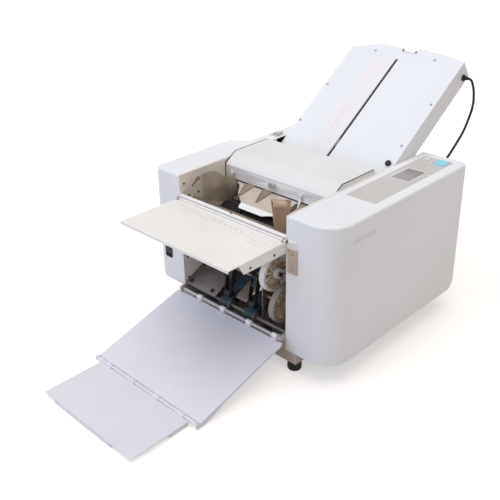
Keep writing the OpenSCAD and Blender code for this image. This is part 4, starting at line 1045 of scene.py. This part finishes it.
class FOLDER_OT_trays(Operator):
    """Exit tray and its folding extension, with the white hooks on the rod"""
    bl_idname = "folder.trays"
    bl_label = "Trays"

    def execute(self, context):
        sizes = context.scene.folder_sizes
        tray = eased("exit_tray", sizes.sheet_edge)
        rod = at(0, ROD_Y, ROD_Z)
        two_tone(tray, "bezel_white", lambda c: sqrt((c.y - rod.y) ** 2 + (c.z - rod.z) ** 2) < 0.0075)
        eased("tray_extension", sizes.sheet_edge)
        eased("tray_rod", 0.0004, slot="rod_grey")
        return {"FINISHED"}


class FOLDER_OT_wheels(Operator):
    """The two spoked press wheels: pale tyre and hub, web and raised ribs painted brown with cream spots as
    shade and highlights; the lower wheel in a darker painted-shade copy of the plastic
    """
    bl_idname = "folder.wheels"
    bl_label = "Press wheels"

    def execute(self, context):
        sizes = context.scene.folder_sizes
        for node, (x, y, z) in WHEELS.items():
            # the lower wheel's darker finish is painted shade
            wheel = eased(node, 0.0005, slot="wheel_shade" if node == "wheel_lower" else None)
            centre = at(x, y, z)

            def web(c, centre=centre):
                reach = sqrt((c.y - centre.y) ** 2 + (c.z - centre.z) ** 2)
                return 0.0125 < reach < 0.0368

            # the web between hub and tyre is painted brown as shade, with cream spots as painted highlights
            two_tone(wheel, "wheel_brown", web)
            rib = prism([(12.2, -1.0), (36.8, -1.3), (36.8, 1.3), (12.2, 1.0)], -3.4, 5.4)
            ease(rib, 0.3)
            ring(node + "_ribs", rib, sizes.wheel_ribs, "wheel_brown", PLACE @ facing((x, y, z), (1, 0, 0)),
                 BODY_OF[node])
            end = across([(0, 0), (4.9, 0), (4.9, 2.6), (4.2, 3.2), (0, 3.2)], 28, x + 17, y, z)
            piece(node + "_axle_end", end, "black_plastic", place=PLACE)
        return {"FINISHED"}


class FOLDER_OT_drive(Operator):
    """Press arms, front shaft, wheel bracket and the sheet between the belts, feet and base pan"""
    bl_idname = "folder.drive"
    bl_label = "Delivery and base"

    def execute(self, context):
        for node in ("wheel_bracket", "feet", "base_pan"):
            eased(node, 0.0005)
        eased("belt_shaft_front", 0.0003, slot="dull_steel")
        self.arms()
        tongue = bent_sheet([(27, 101), (34, 107.5), (96, 135), (150, 160)], 1.2, lambda y: -14, lambda y: 20)
        ease(tongue, 0.3)
        piece("belt_tongue", tongue, "brown_sheet", place=PLACE)
        return {"FINISHED"}

    def arms(self):
        """Two pairs of curved arms on their rod, each pair with a roller that presses on a belt"""
        roller_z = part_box("press_arms")[0].z / MM + 9
        outline = [(48, 170), (46, 176), (40, 178), (33, 175), (30, 168), (27, 152), (22, 132), (20.5, 118),
                   (21, roller_z), (23, roller_z - 4), (27, roller_z - 5), (31, roller_z - 2),
                   (32, roller_z + 3), (31, 120), (36, 136), (44, 154)]
        parts = []
        for x in BELTS_X:
            for a in (-9.8, 8.2):
                plate = upright(outline, x + a, x + a + 1.6)
                ease(plate, 0.3)
                parts.append(plate)
            bridge = upright([(28, 150), (31, 150), (42, 168), (39, 170)], x - 9, x + 9)
            roller = [(0, -8), (8.4, -8), (9, -7.4), (9, 7.4), (8.4, 8), (0, 8)]
            sleeve = [(4.3, -8.2), (7, -8.2), (7, 8.2), (4.3, 8.2)]
            parts += [bridge, across(roller, 36, x, 26, roller_z), across(sleeve, 32, x, 40, 170)]
        piece("press_arms_finished", joined(*parts), SLOT_OF["press_arms"], BODY_OF["press_arms"], PLACE,
              replaces=("press_arms",))


OPERATORS = (FOLDER_OT_stage, FOLDER_OT_finishes, FOLDER_OT_lead, FOLDER_OT_housings, FOLDER_OT_cover,
             FOLDER_OT_fold_plate, FOLDER_OT_controls, FOLDER_OT_feed_table, FOLDER_OT_guides,
             FOLDER_OT_inner_walls, FOLDER_OT_trays, FOLDER_OT_wheels, FOLDER_OT_drive)


class FOLDER_PT_parts(Panel):
    """Sizes, colours and parts of the folding machine"""
    bl_idname = "FOLDER_PT_parts"
    bl_label = "Folding Machine"
    bl_space_type = "VIEW_3D"
    bl_region_type = "UI"
    bl_category = "Folder"

    def draw(self, context):
        for group in (context.scene.folder_sizes, context.scene.folder_colours):
            box = self.layout.box()
            for name in group.__annotations__:
                box.prop(group, name)
        for made in OPERATORS:
            self.layout.operator(made.bl_idname)


CLASSES = (FolderSizes, FolderColours, *OPERATORS, FOLDER_PT_parts)


def register():
    for made in CLASSES:
        bpy.utils.register_class(made)
    bpy.types.Scene.folder_sizes = PointerProperty(type=FolderSizes)
    bpy.types.Scene.folder_colours = PointerProperty(type=FolderColours)


def unregister():
    del bpy.types.Scene.folder_sizes
    del bpy.types.Scene.folder_colours
    for made in reversed(CLASSES):
        bpy.utils.unregister_class(made)


def main():
    register()
    bpy.ops.folder.stage()
    bpy.ops.folder.finishes()
    bpy.ops.folder.lead()
    bpy.ops.folder.housings()
    bpy.ops.folder.cover()
    bpy.ops.folder.fold_plate()
    bpy.ops.folder.controls()
    bpy.ops.folder.feed_table()
    bpy.ops.folder.guides()
    bpy.ops.folder.inner_walls()
    bpy.ops.folder.trays()
    bpy.ops.folder.wheels()
    bpy.ops.folder.drive()


if __name__ == "__main__":
    main()
